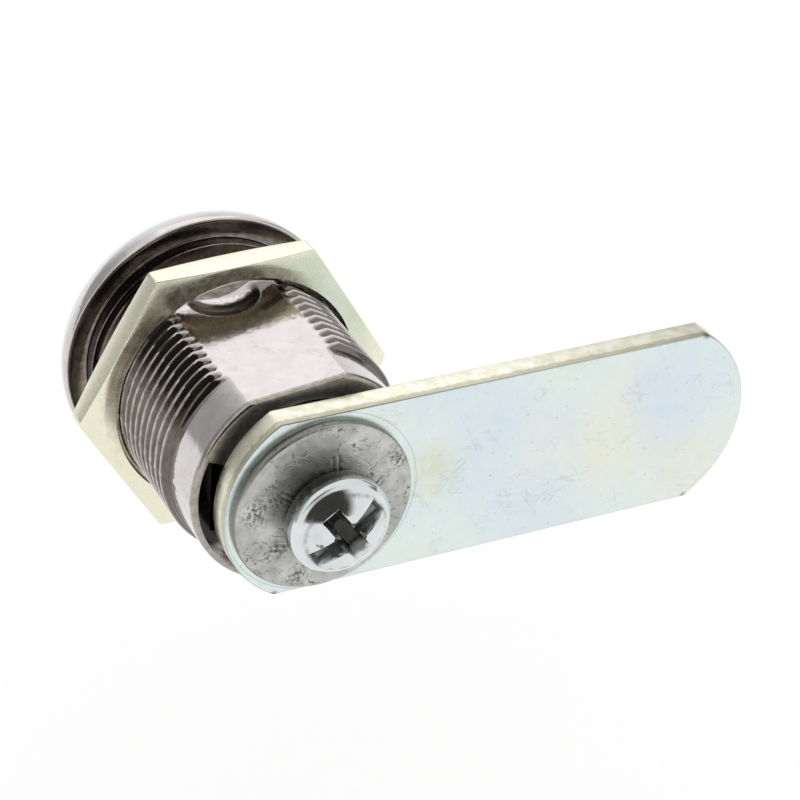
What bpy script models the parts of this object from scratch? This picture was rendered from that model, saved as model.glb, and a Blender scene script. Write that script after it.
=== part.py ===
"""Cam lock with a threaded cylinder housing, a hex nut and a flat steel cam.

Units are metres and +Z is up. The lock's axis lies along Y: the key goes in from +Y
and the cam is at -Y. The origin is on the axis, in the plane where the rim of the head
meets the panel. Inside this file the lock is drawn standing on its head, with local Z
running back from that plane, and the empty lock_frame lays it down.
"""
import math

import bmesh
import bpy

MM = 0.001

# Housing: head
HEAD_OVERHANG = 0.4 * MM
HEAD_HEIGHT = 4.6 * MM
HEAD_EDGE_HEIGHT = 0.4 * MM
HEAD_FACE_RING_WIDTH = 0.8 * MM
RIM_WIDTH = 0.35 * MM
BACK_RECESS_DEPTH = 0.7 * MM
PILOT_STEP = 0.1 * MM
PILOT_LENGTH = 0.55 * MM

# Housing: threaded cylinder with two flats
BODY_LENGTH = 19.3 * MM
BODY_WALL = 3.2 * MM
FLAT_WALL = 1.8 * MM
THREAD_DEPTH = 0.45 * MM
THREAD_PITCH = 1.0 * MM
COLLAR_STEP = 0.55 * MM
COLLAR_LENGTH = 3.9 * MM
COLLAR_CHAMFER = 0.35 * MM
DISH_DIAMETER = 6.6 * MM
DISH_DEPTH = 0.9 * MM
DISH_PLACE = 4.8 * MM

# Plug and its seat in the housing
PLUG_DIAMETER = 12.2 * MM
PLUG_FLANGE_STEP = 0.7 * MM
PLUG_FLANGE_HEIGHT = 1.6 * MM
RUNNING_GAP = 0.1 * MM
SEAT_GAP = 0.3 * MM
KEYWAY_WIDTH = 2.0 * MM
KEYWAY_HEIGHT = 7.2 * MM
KEYWAY_WARD = 0.5 * MM
KEYWAY_DEPTH_PAST_WAFERS = 1.2 * MM
KEYWAY_LEAD_IN = 0.45 * MM

# Wafer tumblers and their springs
WAFER_COUNT = 7
WAFER_THICKNESS = 0.8 * MM
WAFER_PITCH = 1.6 * MM
WAFER_WIDTH = 6.8 * MM
WAFER_TRAVEL = 0.6 * MM
FIRST_WAFER_PLACE = 1.6 * MM
WINDOW_HEIGHT = 7.4 * MM
WINDOW_SHIFTS = (0.3 * MM, -0.6 * MM, 0.6 * MM, 0.0, -0.3 * MM, 0.6 * MM, -0.6 * MM)
SPRING_DIAMETER = 0.9 * MM
SPRING_WIRE_DIAMETER = 0.16 * MM
SPRING_LENGTH = 4.6 * MM
SPRING_TURNS = 6
SPRING_END_WALL = 1.4 * MM

# Stop plate and the turn that it allows
STOP_PLATE_THICKNESS = 1.3 * MM
STOP_HUB_OVERLAP = 0.5 * MM
STOP_LUG_CLEARANCE = 0.25 * MM
STOP_LUG_ANGLE = 260.0
STOP_LUG_SPREAD = 26.0
STOP_CLEARANCE_ANGLE = 1.0
STOP_RIM_WALL = 0.45 * MM
STOP_POCKET_FLAT_WALL = 0.65 * MM
STOP_RECESS_DEPTH = 1.0 * MM
STOP_POCKET_DEPTH = 1.25 * MM
PLUG_TURN = 90.0

# Square drive, cam and its fixing
DRIVE_CORNER_STEP = 0.44 * MM
CAM_THICKNESS = 2.0 * MM
CAM_WIDTH = 14.8 * MM
CAM_REACH = 35.6 * MM
CAM_HEEL = 7.65 * MM
CAM_END_RISE = 4.125 * MM
CAM_EDGE_CHAMFER = 0.12 * MM
WASHER_OVERLAP = 1.34 * MM
WASHER_THICKNESS = 0.8 * MM
WASHER_EDGE_RADIUS = 0.3 * MM
SCREW_DIAMETER = 4.0 * MM
SCREW_LENGTH = 7.4 * MM
SCREW_HEAD_DIAMETER = 7.8 * MM
SCREW_HEAD_HEIGHT = 3.6 * MM
SCREW_CROWN_RISE = 0.8 * MM
SCREW_HEAD_EDGE_RADIUS = 1.0 * MM
SCREW_CLEARANCE = 0.4 * MM
RECESS_BAR_WIDTH = 1.5 * MM
RECESS_SLOT_SPAN = 7.0 * MM
RECESS_SLOT_DEPTH = 1.5 * MM
RECESS_CROSS_SPAN = 5.0 * MM
RECESS_CROSS_DEPTH = 2.0 * MM
RECESS_FLOOR_SPAN = 0.8
RECESS_FLOOR_WIDTH = 0.75
RECESS_ANGLE = 36.0

# Nut
NUT_WALL = 1.6 * MM
NUT_THICKNESS = 2.15 * MM
NUT_PLACE = 4.55 * MM
NUT_CORNER_CHAMFER = 0.3 * MM
NUT_COUNTERSINK = 0.35 * MM

# Angles about the axis, as the lock stands in the photograph
NUT_ANGLE = -4.3
CAM_ANGLE = -6.0

# Facets
TURNED_SEGMENTS = 40
FINE_SEGMENTS = 32
HEAD_DOME_STEPS = 9
HEAD_DOME_POWER = 1.1
SPRING_POINTS_PER_TURN = 7
EDGE_SHARP_ANGLE = math.radians(35.0)
OVERSHOOT = 1.0 * MM

# Radii and stations that several pieces share
PLUG_RADIUS = PLUG_DIAMETER / 2
BORE_RADIUS = PLUG_RADIUS + RUNNING_GAP
THREAD_CREST_RADIUS = BORE_RADIUS + BODY_WALL
THREAD_ROOT_RADIUS = THREAD_CREST_RADIUS - THREAD_DEPTH
COLLAR_RADIUS = THREAD_CREST_RADIUS - COLLAR_STEP
PILOT_RADIUS = THREAD_CREST_RADIUS + PILOT_STEP
FLAT_DISTANCE = BORE_RADIUS + FLAT_WALL
NUT_FLAT_DISTANCE = THREAD_CREST_RADIUS + NUT_WALL
NUT_CORNER_RADIUS = NUT_FLAT_DISTANCE * 2 / math.sqrt(3)
HEAD_RADIUS = NUT_FLAT_DISTANCE + HEAD_OVERHANG
FLANGE_RADIUS = PLUG_RADIUS + PLUG_FLANGE_STEP
FLANGE_BORE_RADIUS = FLANGE_RADIUS + RUNNING_GAP
DRIVE_CORNER_RADIUS = PLUG_RADIUS - DRIVE_CORNER_STEP
DRIVE_SQUARE = DRIVE_CORNER_RADIUS * math.sqrt(2)
WASHER_RADIUS = DRIVE_CORNER_RADIUS + WASHER_OVERLAP
STOP_HUB_RADIUS = BORE_RADIUS + STOP_HUB_OVERLAP
STOP_POCKET_FLAT_DISTANCE = FLAT_DISTANCE - STOP_POCKET_FLAT_WALL
STOP_LUG_RADIUS = STOP_POCKET_FLAT_DISTANCE - STOP_LUG_CLEARANCE
HEAD_FACE_Z = -HEAD_HEIGHT
FLANGE_SEAT_Z = HEAD_FACE_Z + PLUG_FLANGE_HEIGHT + SEAT_GAP
STOP_FLOOR_Z = BODY_LENGTH - STOP_RECESS_DEPTH
STOP_PLATE_Z = STOP_FLOOR_Z + SEAT_GAP
CAM_BACK_Z = STOP_PLATE_Z + STOP_PLATE_THICKNESS + SEAT_GAP
CAM_FRONT_Z = CAM_BACK_Z + CAM_THICKNESS
DRIVE_END_Z = CAM_FRONT_Z - SEAT_GAP
WASHER_Z = CAM_FRONT_Z + SEAT_GAP
SCREW_HEAD_Z = WASHER_Z + WASHER_THICKNESS + SEAT_GAP
SCREW_TIP_Z = SCREW_HEAD_Z - SCREW_LENGTH
SLOT_THICKNESS = WAFER_THICKNESS + 2 * RUNNING_GAP
SLOT_WIDTH = WAFER_WIDTH + 2 * RUNNING_GAP
SPRING_LANE_WIDTH = SPRING_DIAMETER + 2 * RUNNING_GAP
LANE_INNER_Y = WAFER_WIDTH / 2 - SPRING_LANE_WIDTH
SPRING_Y = WAFER_WIDTH / 2 - SPRING_LANE_WIDTH / 2
SPRING_SEAT_X = PLUG_RADIUS - SPRING_END_WALL
SPRING_LEDGE_X = SPRING_SEAT_X - SPRING_LENGTH - 2 * RUNNING_GAP
LAST_WAFER_Z = FIRST_WAFER_PLACE + (WAFER_COUNT - 1) * WAFER_PITCH


def clear_scene():
    """Remove what a new file holds."""
    for item in list(bpy.data.objects):
        bpy.data.objects.remove(item)


def new_collection(name):
    collection = bpy.data.collections.new(name)
    bpy.context.scene.collection.children.link(collection)
    return collection


def new_material(name, color, roughness, metallic):
    material = bpy.data.materials.new(name)
    material.use_nodes = True
    material.diffuse_color = (*color, 1.0)
    shader = material.node_tree.nodes["Principled BSDF"]
    shader.inputs["Base Color"].default_value = (*color, 1.0)
    shader.inputs["Roughness"].default_value = roughness
    shader.inputs["Metallic"].default_value = metallic
    return material


def new_empty(name, parent=None):
    empty = bpy.data.objects.new(name, None)
    empty.empty_display_size = 5 * MM
    empty.parent = parent
    lock_parts.objects.link(empty)
    return empty


def add_object(name, mesh, parent, material=None):
    """Make a named piece of the lock, or a cutter where no material is given."""
    item = bpy.data.objects.new(name, mesh)
    item.parent = parent
    if material is None:
        cutters.objects.link(item)
        item.hide_render = True
        item.display_type = "WIRE"
    else:
        mesh.materials.clear()
        mesh.materials.append(material)
        lock_parts.objects.link(item)
    return item


def mesh_from(name, build):
    """Run build on a new bmesh and return it as a mesh."""
    shape = bmesh.new()
    build(shape)
    mesh = bpy.data.meshes.new(name)
    shape.to_mesh(mesh)
    shape.free()
    return mesh


def turned_mesh(name, profile, closed, segments=TURNED_SEGMENTS):
    """Turn (radius, z) points about Z. An open profile starts and ends on the axis."""
    def draw_profile(shape):
        points = [shape.verts.new((radius, 0.0, z)) for radius, z in profile]
        for start, end in zip(points, points[1:]):
            shape.edges.new((start, end))
        if closed:
            shape.edges.new((points[-1], points[0]))

    outline = bpy.data.objects.new(name, mesh_from(name + "_profile", draw_profile))
    bpy.context.scene.collection.objects.link(outline)
    screw = outline.modifiers.new("turn", "SCREW")
    screw.axis = "Z"
    screw.angle = math.tau
    screw.steps = segments
    screw.render_steps = segments
    screw.use_merge_vertices = True
    screw.merge_threshold = 0.000001
    return applied_mesh(name, outline)


def applied_mesh(name, item):
    """Return the evaluated mesh of an object, closed and smooth, and remove the object."""
    bpy.context.view_layer.update()
    evaluated = item.evaluated_get(bpy.context.evaluated_depsgraph_get())
    mesh = bpy.data.meshes.new_from_object(evaluated)
    mesh.name = name
    bpy.data.objects.remove(item)
    shape = bmesh.new()
    shape.from_mesh(mesh)
    bmesh.ops.remove_doubles(shape, verts=shape.verts, dist=0.000001)
    bmesh.ops.recalc_face_normals(shape, faces=shape.faces)
    shape.to_mesh(mesh)
    shape.free()
    mesh.shade_smooth()
    mesh.set_sharp_from_angle(angle=EDGE_SHARP_ANGLE)
    return mesh


def plate_mesh(name, outlines, bottom, thickness):
    """Extrude flat outlines, the first one solid and the others holes, from z = bottom."""
    curve = bpy.data.curves.new(name, "CURVE")
    curve.dimensions = "2D"
    curve.fill_mode = "BOTH"
    curve.extrude = thickness / 2
    for outline in outlines:
        spline = curve.splines.new("POLY")
        spline.points.add(len(outline) - 1)
        for point, (x, y) in zip(spline.points, outline):
            point.co = (x, y, 0.0, 1.0)
        spline.use_cyclic_u = True
    item = bpy.data.objects.new(name, curve)
    bpy.context.scene.collection.objects.link(item)
    mesh = applied_mesh(name, item)
    for vertex in mesh.vertices:
        vertex.co.z += bottom + thickness / 2
    return mesh


def box_mesh(name, low, high):
    def draw_box(shape):
        bmesh.ops.create_cube(shape, size=1.0)
        for vertex in shape.verts:
            for axis in range(3):
                share = vertex.co[axis] + 0.5
                vertex.co[axis] = low[axis] + share * (high[axis] - low[axis])

    return mesh_from(name, draw_box)


def arc(radius, start, end, count, center=(0.0, 0.0)):
    """Points on an arc from start to end, in degrees, both ends included."""
    points = []
    for step in range(count + 1):
        angle = math.radians(start + (end - start) * step / count)
        points.append((center[0] + radius * math.cos(angle), center[1] + radius * math.sin(angle)))
    return points


def square(width):
    half = width / 2
    return [(-half, -half), (half, -half), (half, half), (-half, half)]


def apply_boolean(item, cutter, operation="DIFFERENCE"):
    """Add an exact Boolean that cuts item by cutter."""
    modifier = item.modifiers.new(operation.lower(), "BOOLEAN")
    modifier.operation = operation
    modifier.object = cutter
    modifier.solver = "EXACT"
    return modifier


def thread_profile():
    """Ridges of the thread from the collar down to the pilot, as (radius, z) points."""
    top = BODY_LENGTH - COLLAR_LENGTH
    ridge_count = int((top - PILOT_LENGTH) / THREAD_PITCH - 0.5)
    points = []
    for ridge in range(ridge_count):
        root_z = top - ridge * THREAD_PITCH
        points.append((THREAD_ROOT_RADIUS, root_z))
        points.append((THREAD_CREST_RADIUS, root_z - 0.42 * THREAD_PITCH))
        points.append((THREAD_CREST_RADIUS, root_z - 0.58 * THREAD_PITCH))
    points.append((THREAD_ROOT_RADIUS, top - ridge_count * THREAD_PITCH))
    return points


def head_profile():
    """The head from its rim at the panel, over the domed edge, to the plug's seat."""
    face_radius = FLANGE_BORE_RADIUS + HEAD_FACE_RING_WIDTH
    dome = []
    for step in range(HEAD_DOME_STEPS + 1):
        slope = math.pi / 2 * step / HEAD_DOME_STEPS
        out = max(0.0, math.cos(slope)) ** HEAD_DOME_POWER
        up = math.sin(slope) ** HEAD_DOME_POWER
        radius = face_radius + (HEAD_RADIUS - face_radius) * out
        dome.append((radius, -HEAD_EDGE_HEIGHT - (HEAD_HEIGHT - HEAD_EDGE_HEIGHT) * up))
    return [(HEAD_RADIUS, 0.0)] + dome + [
        (FLANGE_BORE_RADIUS, HEAD_FACE_Z),
        (FLANGE_BORE_RADIUS, FLANGE_SEAT_Z),
        (BORE_RADIUS, FLANGE_SEAT_Z),
    ]


def housing_profile():
    """Closed section of the housing, down the outside from the rear and up the bore."""
    stop_radius = STOP_HUB_RADIUS + 2 * RUNNING_GAP
    rim_inner = HEAD_RADIUS - RIM_WIDTH
    recess_middle = (PILOT_RADIUS + rim_inner) / 2
    return [
        (stop_radius, BODY_LENGTH),
        (COLLAR_RADIUS - COLLAR_CHAMFER, BODY_LENGTH),
        (COLLAR_RADIUS, BODY_LENGTH - COLLAR_CHAMFER),
        (COLLAR_RADIUS, BODY_LENGTH - COLLAR_LENGTH + THREAD_DEPTH / 2),
    ] + thread_profile() + [
        (THREAD_ROOT_RADIUS, PILOT_LENGTH),
        (PILOT_RADIUS, PILOT_LENGTH),
        (PILOT_RADIUS, -BACK_RECESS_DEPTH * 0.7),
        (recess_middle, -BACK_RECESS_DEPTH),
        (rim_inner, -BACK_RECESS_DEPTH * 0.7),
        (rim_inner, 0.0),
    ] + head_profile() + [
        (BORE_RADIUS, STOP_FLOOR_Z),
        (stop_radius, STOP_FLOOR_Z),
    ]


def build_housing(frame, drive_frame, material):
    housing = add_object("housing", turned_mesh("housing", housing_profile(), True), frame, material)
    for side in (1, -1):
        apply_boolean(housing, flat_cutter(frame, side))
    apply_boolean(housing, dish_cutter(frame))
    apply_boolean(housing, groove_cutter(drive_frame))
    apply_boolean(housing, stop_pocket_cutter(frame))
    return housing


def flat_cutter(frame, side):
    """The block outside one flat, from the pilot past the rear end."""
    reach = HEAD_RADIUS
    low_y, high_y = sorted((side * FLAT_DISTANCE, side * reach))
    name = "flat_cutter_top" if side > 0 else "flat_cutter_bottom"
    low = (-reach, low_y, PILOT_LENGTH)
    high = (reach, high_y, BODY_LENGTH + OVERSHOOT)
    return add_object(name, box_mesh(name, low, high), frame)


def dish_cutter(frame):
    """A lens that presses the round dish into the upper flat, turned about its own axis."""
    half_width = DISH_DIAMETER / 2
    ball_radius = (half_width ** 2 + DISH_DEPTH ** 2) / (2 * DISH_DEPTH)
    rim_angle = math.degrees(math.asin(half_width / ball_radius))
    bowl = arc(ball_radius, rim_angle - 90.0, -90.0, 5, (0.0, ball_radius - DISH_DEPTH))
    profile = [(0.0, DISH_DEPTH), (half_width, DISH_DEPTH)] + bowl[:-1] + [(0.0, -DISH_DEPTH)]
    mesh = turned_mesh("dish_cutter", profile, False, FINE_SEGMENTS)
    cutter = add_object("dish_cutter", mesh, frame)
    cutter.rotation_euler = (-math.pi / 2, 0.0, 0.0)
    cutter.location = (0.0, FLAT_DISTANCE, DISH_PLACE)
    return cutter


def groove_cutter(drive_frame):
    """The slot across the bore that takes the wafers when they are sprung out."""
    reach = PLUG_RADIUS + WAFER_TRAVEL + 2 * RUNNING_GAP
    half_width = WAFER_WIDTH / 2 + 2 * RUNNING_GAP
    low = (-reach, -half_width, FIRST_WAFER_PLACE - WAFER_PITCH)
    high = (reach, half_width, STOP_FLOOR_Z + OVERSHOOT / 2)
    return add_object("wafer_groove_cutter", box_mesh("wafer_groove_cutter", low, high), drive_frame)


def stop_pocket_cutter(frame):
    """The sector in the rear face that the stop plate's lug sweeps through."""
    half_spread = STOP_LUG_SPREAD / 2 + STOP_CLEARANCE_ANGLE
    start = STOP_LUG_ANGLE + CAM_ANGLE - PLUG_TURN - half_spread
    end = STOP_LUG_ANGLE + CAM_ANGLE + half_spread
    pocket_radius = COLLAR_RADIUS - STOP_RIM_WALL
    flat_limit = STOP_POCKET_FLAT_DISTANCE
    outer = [point for point in arc(pocket_radius, start, end, 30) if point[1] > -flat_limit]
    corner_x = math.sqrt(pocket_radius ** 2 - flat_limit ** 2)
    end_slope = math.radians(end)
    outer.append((-corner_x, -flat_limit))
    outer.append((-flat_limit * math.cos(end_slope) / math.sin(end_slope), -flat_limit))
    inner = arc(PLUG_RADIUS - OVERSHOOT, end, start, 16)
    bottom = BODY_LENGTH - STOP_POCKET_DEPTH
    mesh = plate_mesh("stop_pocket_cutter", [outer + inner], bottom, STOP_POCKET_DEPTH + OVERSHOOT)
    return add_object("stop_pocket_cutter", mesh, frame)


def build_plug(drive_frame, material):
    """The plug that the key turns, with its flange, wafer slots and square drive."""
    flange_back = HEAD_FACE_Z + PLUG_FLANGE_HEIGHT
    profile = [
        (0.0, STOP_FLOOR_Z),
        (PLUG_RADIUS, STOP_FLOOR_Z),
        (PLUG_RADIUS, flange_back),
        (FLANGE_RADIUS, flange_back),
        (FLANGE_RADIUS, HEAD_FACE_Z + KEYWAY_LEAD_IN / 2),
        (FLANGE_RADIUS - KEYWAY_LEAD_IN / 2, HEAD_FACE_Z),
        (0.0, HEAD_FACE_Z),
    ]
    plug = add_object("plug", turned_mesh("plug", profile, False), drive_frame, material)
    half = DRIVE_SQUARE / 2
    drive_low = (-half, -half, STOP_FLOOR_Z - OVERSHOOT)
    drive = box_mesh("drive_square", drive_low, (half, half, DRIVE_END_Z))
    apply_boolean(plug, add_object("drive_square", drive, drive_frame), "UNION")
    for cutter in keyway_cutters(drive_frame):
        apply_boolean(plug, cutter)
    apply_boolean(plug, screw_hole_cutter(drive_frame))
    for index in range(WAFER_COUNT):
        apply_boolean(plug, wafer_slot_cutter(drive_frame, index))
    return plug


def keyway_cutters(drive_frame):
    """The key's passage, stepped by a ward, and the bevelled lead-in at its mouth."""
    half_width, half_height = KEYWAY_WIDTH / 2, KEYWAY_HEIGHT / 2
    passage = [
        (-half_height, -half_width),
        (half_height, -half_width),
        (half_height, half_width - KEYWAY_WARD),
        (KEYWAY_WARD, half_width - KEYWAY_WARD),
        (KEYWAY_WARD, half_width),
        (-half_height, half_width),
    ]
    length = LAST_WAFER_Z + KEYWAY_DEPTH_PAST_WAFERS - HEAD_FACE_Z + OVERSHOOT
    passage_mesh = plate_mesh("keyway_cutter", [passage], HEAD_FACE_Z - OVERSHOOT, length)

    def draw_lead_in(shape):
        bmesh.ops.create_cube(shape, size=1.0)
        for vertex in shape.verts:
            spread = KEYWAY_LEAD_IN if vertex.co.z < 0 else -KEYWAY_LEAD_IN
            side_x = math.copysign(half_height + spread, vertex.co.x)
            side_y = math.copysign(half_width + spread, vertex.co.y)
            depth = math.copysign(KEYWAY_LEAD_IN, vertex.co.z)
            vertex.co = (side_x, side_y, HEAD_FACE_Z + depth)

    lead_in_mesh = mesh_from("keyway_mouth_cutter", draw_lead_in)
    return [
        add_object("keyway_cutter", passage_mesh, drive_frame),
        add_object("keyway_mouth_cutter", lead_in_mesh, drive_frame),
    ]


def screw_hole_cutter(drive_frame):
    radius = SCREW_DIAMETER / 2 + RUNNING_GAP
    profile = [
        (0.0, DRIVE_END_Z + OVERSHOOT),
        (radius, DRIVE_END_Z + OVERSHOOT),
        (radius, SCREW_TIP_Z - SEAT_GAP),
        (0.0, SCREW_TIP_Z - SEAT_GAP - radius / 2),
    ]
    mesh = turned_mesh("screw_hole_cutter", profile, False, FINE_SEGMENTS)
    return add_object("screw_hole_cutter", mesh, drive_frame)


def wafer_place(index):
    """Height of a wafer's middle, and the half turn that every second wafer has."""
    return FIRST_WAFER_PLACE + index * WAFER_PITCH, (index % 2) * math.pi


def wafer_slot_cutter(drive_frame, index):
    """A wafer's slot through the plug, blind where it holds the spring."""
    height, turn = wafer_place(index)
    reach = PLUG_RADIUS + OVERSHOOT
    half_width = SLOT_WIDTH / 2
    lane_y = LANE_INNER_Y + RUNNING_GAP
    outline = [
        (-reach, -half_width),
        (reach, -half_width),
        (reach, lane_y),
        (SPRING_SEAT_X, lane_y),
        (SPRING_SEAT_X, half_width),
        (-reach, half_width),
    ]
    name = f"wafer_slot_cutter_{index + 1}"
    cutter = add_object(name, plate_mesh(name, [outline], -SLOT_THICKNESS / 2, SLOT_THICKNESS), drive_frame)
    cutter.location.z = height
    cutter.rotation_euler.z = turn
    return cutter


def build_wafer(drive_frame, index, material):
    """A brass plate, round to the plug at both ends, with a key window and a spring ledge."""
    height, turn = wafer_place(index)
    radius = PLUG_RADIUS - RUNNING_GAP / 2
    half_width = WAFER_WIDTH / 2
    side_angle = math.degrees(math.asin(half_width / radius))
    lane_angle = math.degrees(math.asin(LANE_INNER_Y / radius))
    body = arc(radius, -side_angle, lane_angle, 7)
    body += [(SPRING_LEDGE_X, LANE_INNER_Y), (SPRING_LEDGE_X, half_width)]
    body += arc(radius, 180.0 - side_angle, 180.0 + side_angle, 8)
    half_window = KEYWAY_WIDTH / 2 + RUNNING_GAP
    shift = WINDOW_SHIFTS[index % len(WINDOW_SHIFTS)]
    low_x, high_x = shift - WINDOW_HEIGHT / 2, shift + WINDOW_HEIGHT / 2
    window = [(low_x, -half_window), (high_x, -half_window), (high_x, half_window), (low_x, half_window)]
    name = f"wafer_{index + 1}"
    mesh = plate_mesh(name, [body, window], -WAFER_THICKNESS / 2, WAFER_THICKNESS)
    wafer = add_object(name, mesh, drive_frame, material)
    wafer.location.z = height
    wafer.rotation_euler.z = turn
    return wafer


def build_wafer_spring(drive_frame, index, material):
    """The coil spring between a wafer's ledge and the blind end of its slot."""
    height, turn = wafer_place(index)
    wire_radius = SPRING_WIRE_DIAMETER / 2
    coil_radius = SPRING_DIAMETER / 2 - wire_radius
    start_x = SPRING_LEDGE_X + RUNNING_GAP + wire_radius
    length = SPRING_LENGTH - 2 * wire_radius
    count = SPRING_TURNS * SPRING_POINTS_PER_TURN
    name = f"wafer_spring_{index + 1}"
    curve = bpy.data.curves.new(name, "CURVE")
    curve.dimensions = "3D"
    curve.bevel_depth = wire_radius
    curve.bevel_resolution = 1
    curve.use_fill_caps = True
    spline = curve.splines.new("POLY")
    spline.points.add(count)
    for step, point in enumerate(spline.points):
        angle = math.tau * step / SPRING_POINTS_PER_TURN
        x = start_x + length * step / count
        y = SPRING_Y + coil_radius * math.cos(angle)
        point.co = (x, y, coil_radius * math.sin(angle), 1.0)
    item = bpy.data.objects.new(name, curve)
    bpy.context.scene.collection.objects.link(item)
    spring = add_object(name, applied_mesh(name, item), drive_frame, material)
    spring.location.z = height
    spring.rotation_euler.z = turn
    return spring


def build_stop_plate(drive_frame, material):
    """The plate on the square drive whose lug limits the turn and holds the plug in."""
    lug_start = STOP_LUG_ANGLE - STOP_LUG_SPREAD / 2
    lug_end = STOP_LUG_ANGLE + STOP_LUG_SPREAD / 2
    outline = arc(STOP_HUB_RADIUS, lug_end - 360.0, lug_start, 36)
    outline += arc(STOP_LUG_RADIUS, lug_start, lug_end, 4)
    hole = square(DRIVE_SQUARE + 2 * RUNNING_GAP)
    mesh = plate_mesh("stop_plate", [outline, hole], STOP_PLATE_Z, STOP_PLATE_THICKNESS)
    return add_object("stop_plate", mesh, drive_frame, material)


def cam_outline():
    """A straight-sided bar whose two ends are arcs that meet the sides at corners."""
    half_width = CAM_WIDTH / 2
    radius = (half_width ** 2 + CAM_END_RISE ** 2) / (2 * CAM_END_RISE)
    corner = math.degrees(math.asin(half_width / radius))
    tip = arc(radius, -corner, corner, 12, (CAM_REACH - radius, 0.0))
    heel = arc(radius, 180.0 - corner, 180.0 + corner, 12, (radius - CAM_HEEL, 0.0))
    return tip + heel


def build_cam(drive_frame, material):
    hole = square(DRIVE_SQUARE + 2 * RUNNING_GAP)
    mesh = plate_mesh("cam", [cam_outline(), hole], CAM_BACK_Z, CAM_THICKNESS)
    cam = add_object("cam", mesh, drive_frame, material)
    bevel = cam.modifiers.new("edge_break", "BEVEL")
    bevel.width = CAM_EDGE_CHAMFER
    bevel.segments = 1
    bevel.limit_method = "ANGLE"
    bevel.angle_limit = math.radians(60.0)
    return cam


def build_cam_washer(drive_frame, material):
    """The thick washer between the cam and the head of its screw."""
    outer = WASHER_RADIUS
    inner = (SCREW_DIAMETER + SCREW_CLEARANCE) / 2
    top = WASHER_Z + WASHER_THICKNESS
    edge = WASHER_EDGE_RADIUS
    upper = arc(edge, 90.0, 0.0, 3, (outer - edge, top - edge))
    lower = arc(edge, 0.0, -90.0, 3, (outer - edge, WASHER_Z + edge))
    profile = [(inner, top)] + upper + lower + [(inner, WASHER_Z)]
    return add_object("cam_washer", turned_mesh("cam_washer", profile, True), drive_frame, material)


def build_cam_screw(drive_frame, material):
    """A pan-head screw with a slot and a short cross, down into the plug's tapped hole."""
    head_radius = SCREW_HEAD_DIAMETER / 2
    edge = SCREW_HEAD_EDGE_RADIUS
    top = SCREW_HEAD_Z + SCREW_HEAD_HEIGHT
    crown_width = head_radius - edge / 2
    crown_radius = (crown_width ** 2 + SCREW_CROWN_RISE ** 2) / (2 * SCREW_CROWN_RISE)
    crown_angle = math.degrees(math.asin(crown_width / crown_radius))
    crown = arc(crown_radius, 90.0, 90.0 - crown_angle, 5, (0.0, top - crown_radius))
    shoulder = arc(edge, 55.0, 0.0, 4, (head_radius - edge, top - SCREW_CROWN_RISE - edge))
    radius = SCREW_DIAMETER / 2
    profile = [(0.0, top)] + crown[1:] + shoulder + [
        (head_radius, SCREW_HEAD_Z + edge / 3),
        (head_radius - edge / 3, SCREW_HEAD_Z),
        (radius, SCREW_HEAD_Z),
        (radius, SCREW_TIP_Z + radius / 4),
        (radius * 0.75, SCREW_TIP_Z),
        (0.0, SCREW_TIP_Z),
    ]
    mesh = turned_mesh("cam_screw", profile, False, FINE_SEGMENTS)
    screw = add_object("cam_screw", mesh, drive_frame, material)
    slot = recess_bar(drive_frame, "slot", RECESS_SLOT_SPAN, RECESS_SLOT_DEPTH, top)
    cross = recess_bar(drive_frame, "cross", RECESS_CROSS_SPAN, RECESS_CROSS_DEPTH, top)
    cross.rotation_euler.z += math.pi / 2
    for cutter in (slot, cross):
        apply_boolean(screw, cutter)
    return screw


def recess_bar(drive_frame, name, span, depth, top):
    """One bar of the screw's recess, shorter and narrower at its floor."""
    def draw_bar(shape):
        bmesh.ops.create_cube(shape, size=1.0)
        for vertex in shape.verts:
            at_floor = vertex.co.z < 0
            vertex.co.x *= span * (RECESS_FLOOR_SPAN if at_floor else 1.0)
            vertex.co.y *= RECESS_BAR_WIDTH * (RECESS_FLOOR_WIDTH if at_floor else 1.0)
            vertex.co.z = top - depth if at_floor else top + OVERSHOOT

    name = f"recess_{name}_cutter"
    bar = add_object(name, mesh_from(name, draw_bar), drive_frame)
    bar.rotation_euler.z = math.radians(RECESS_ANGLE)
    return bar


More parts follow.
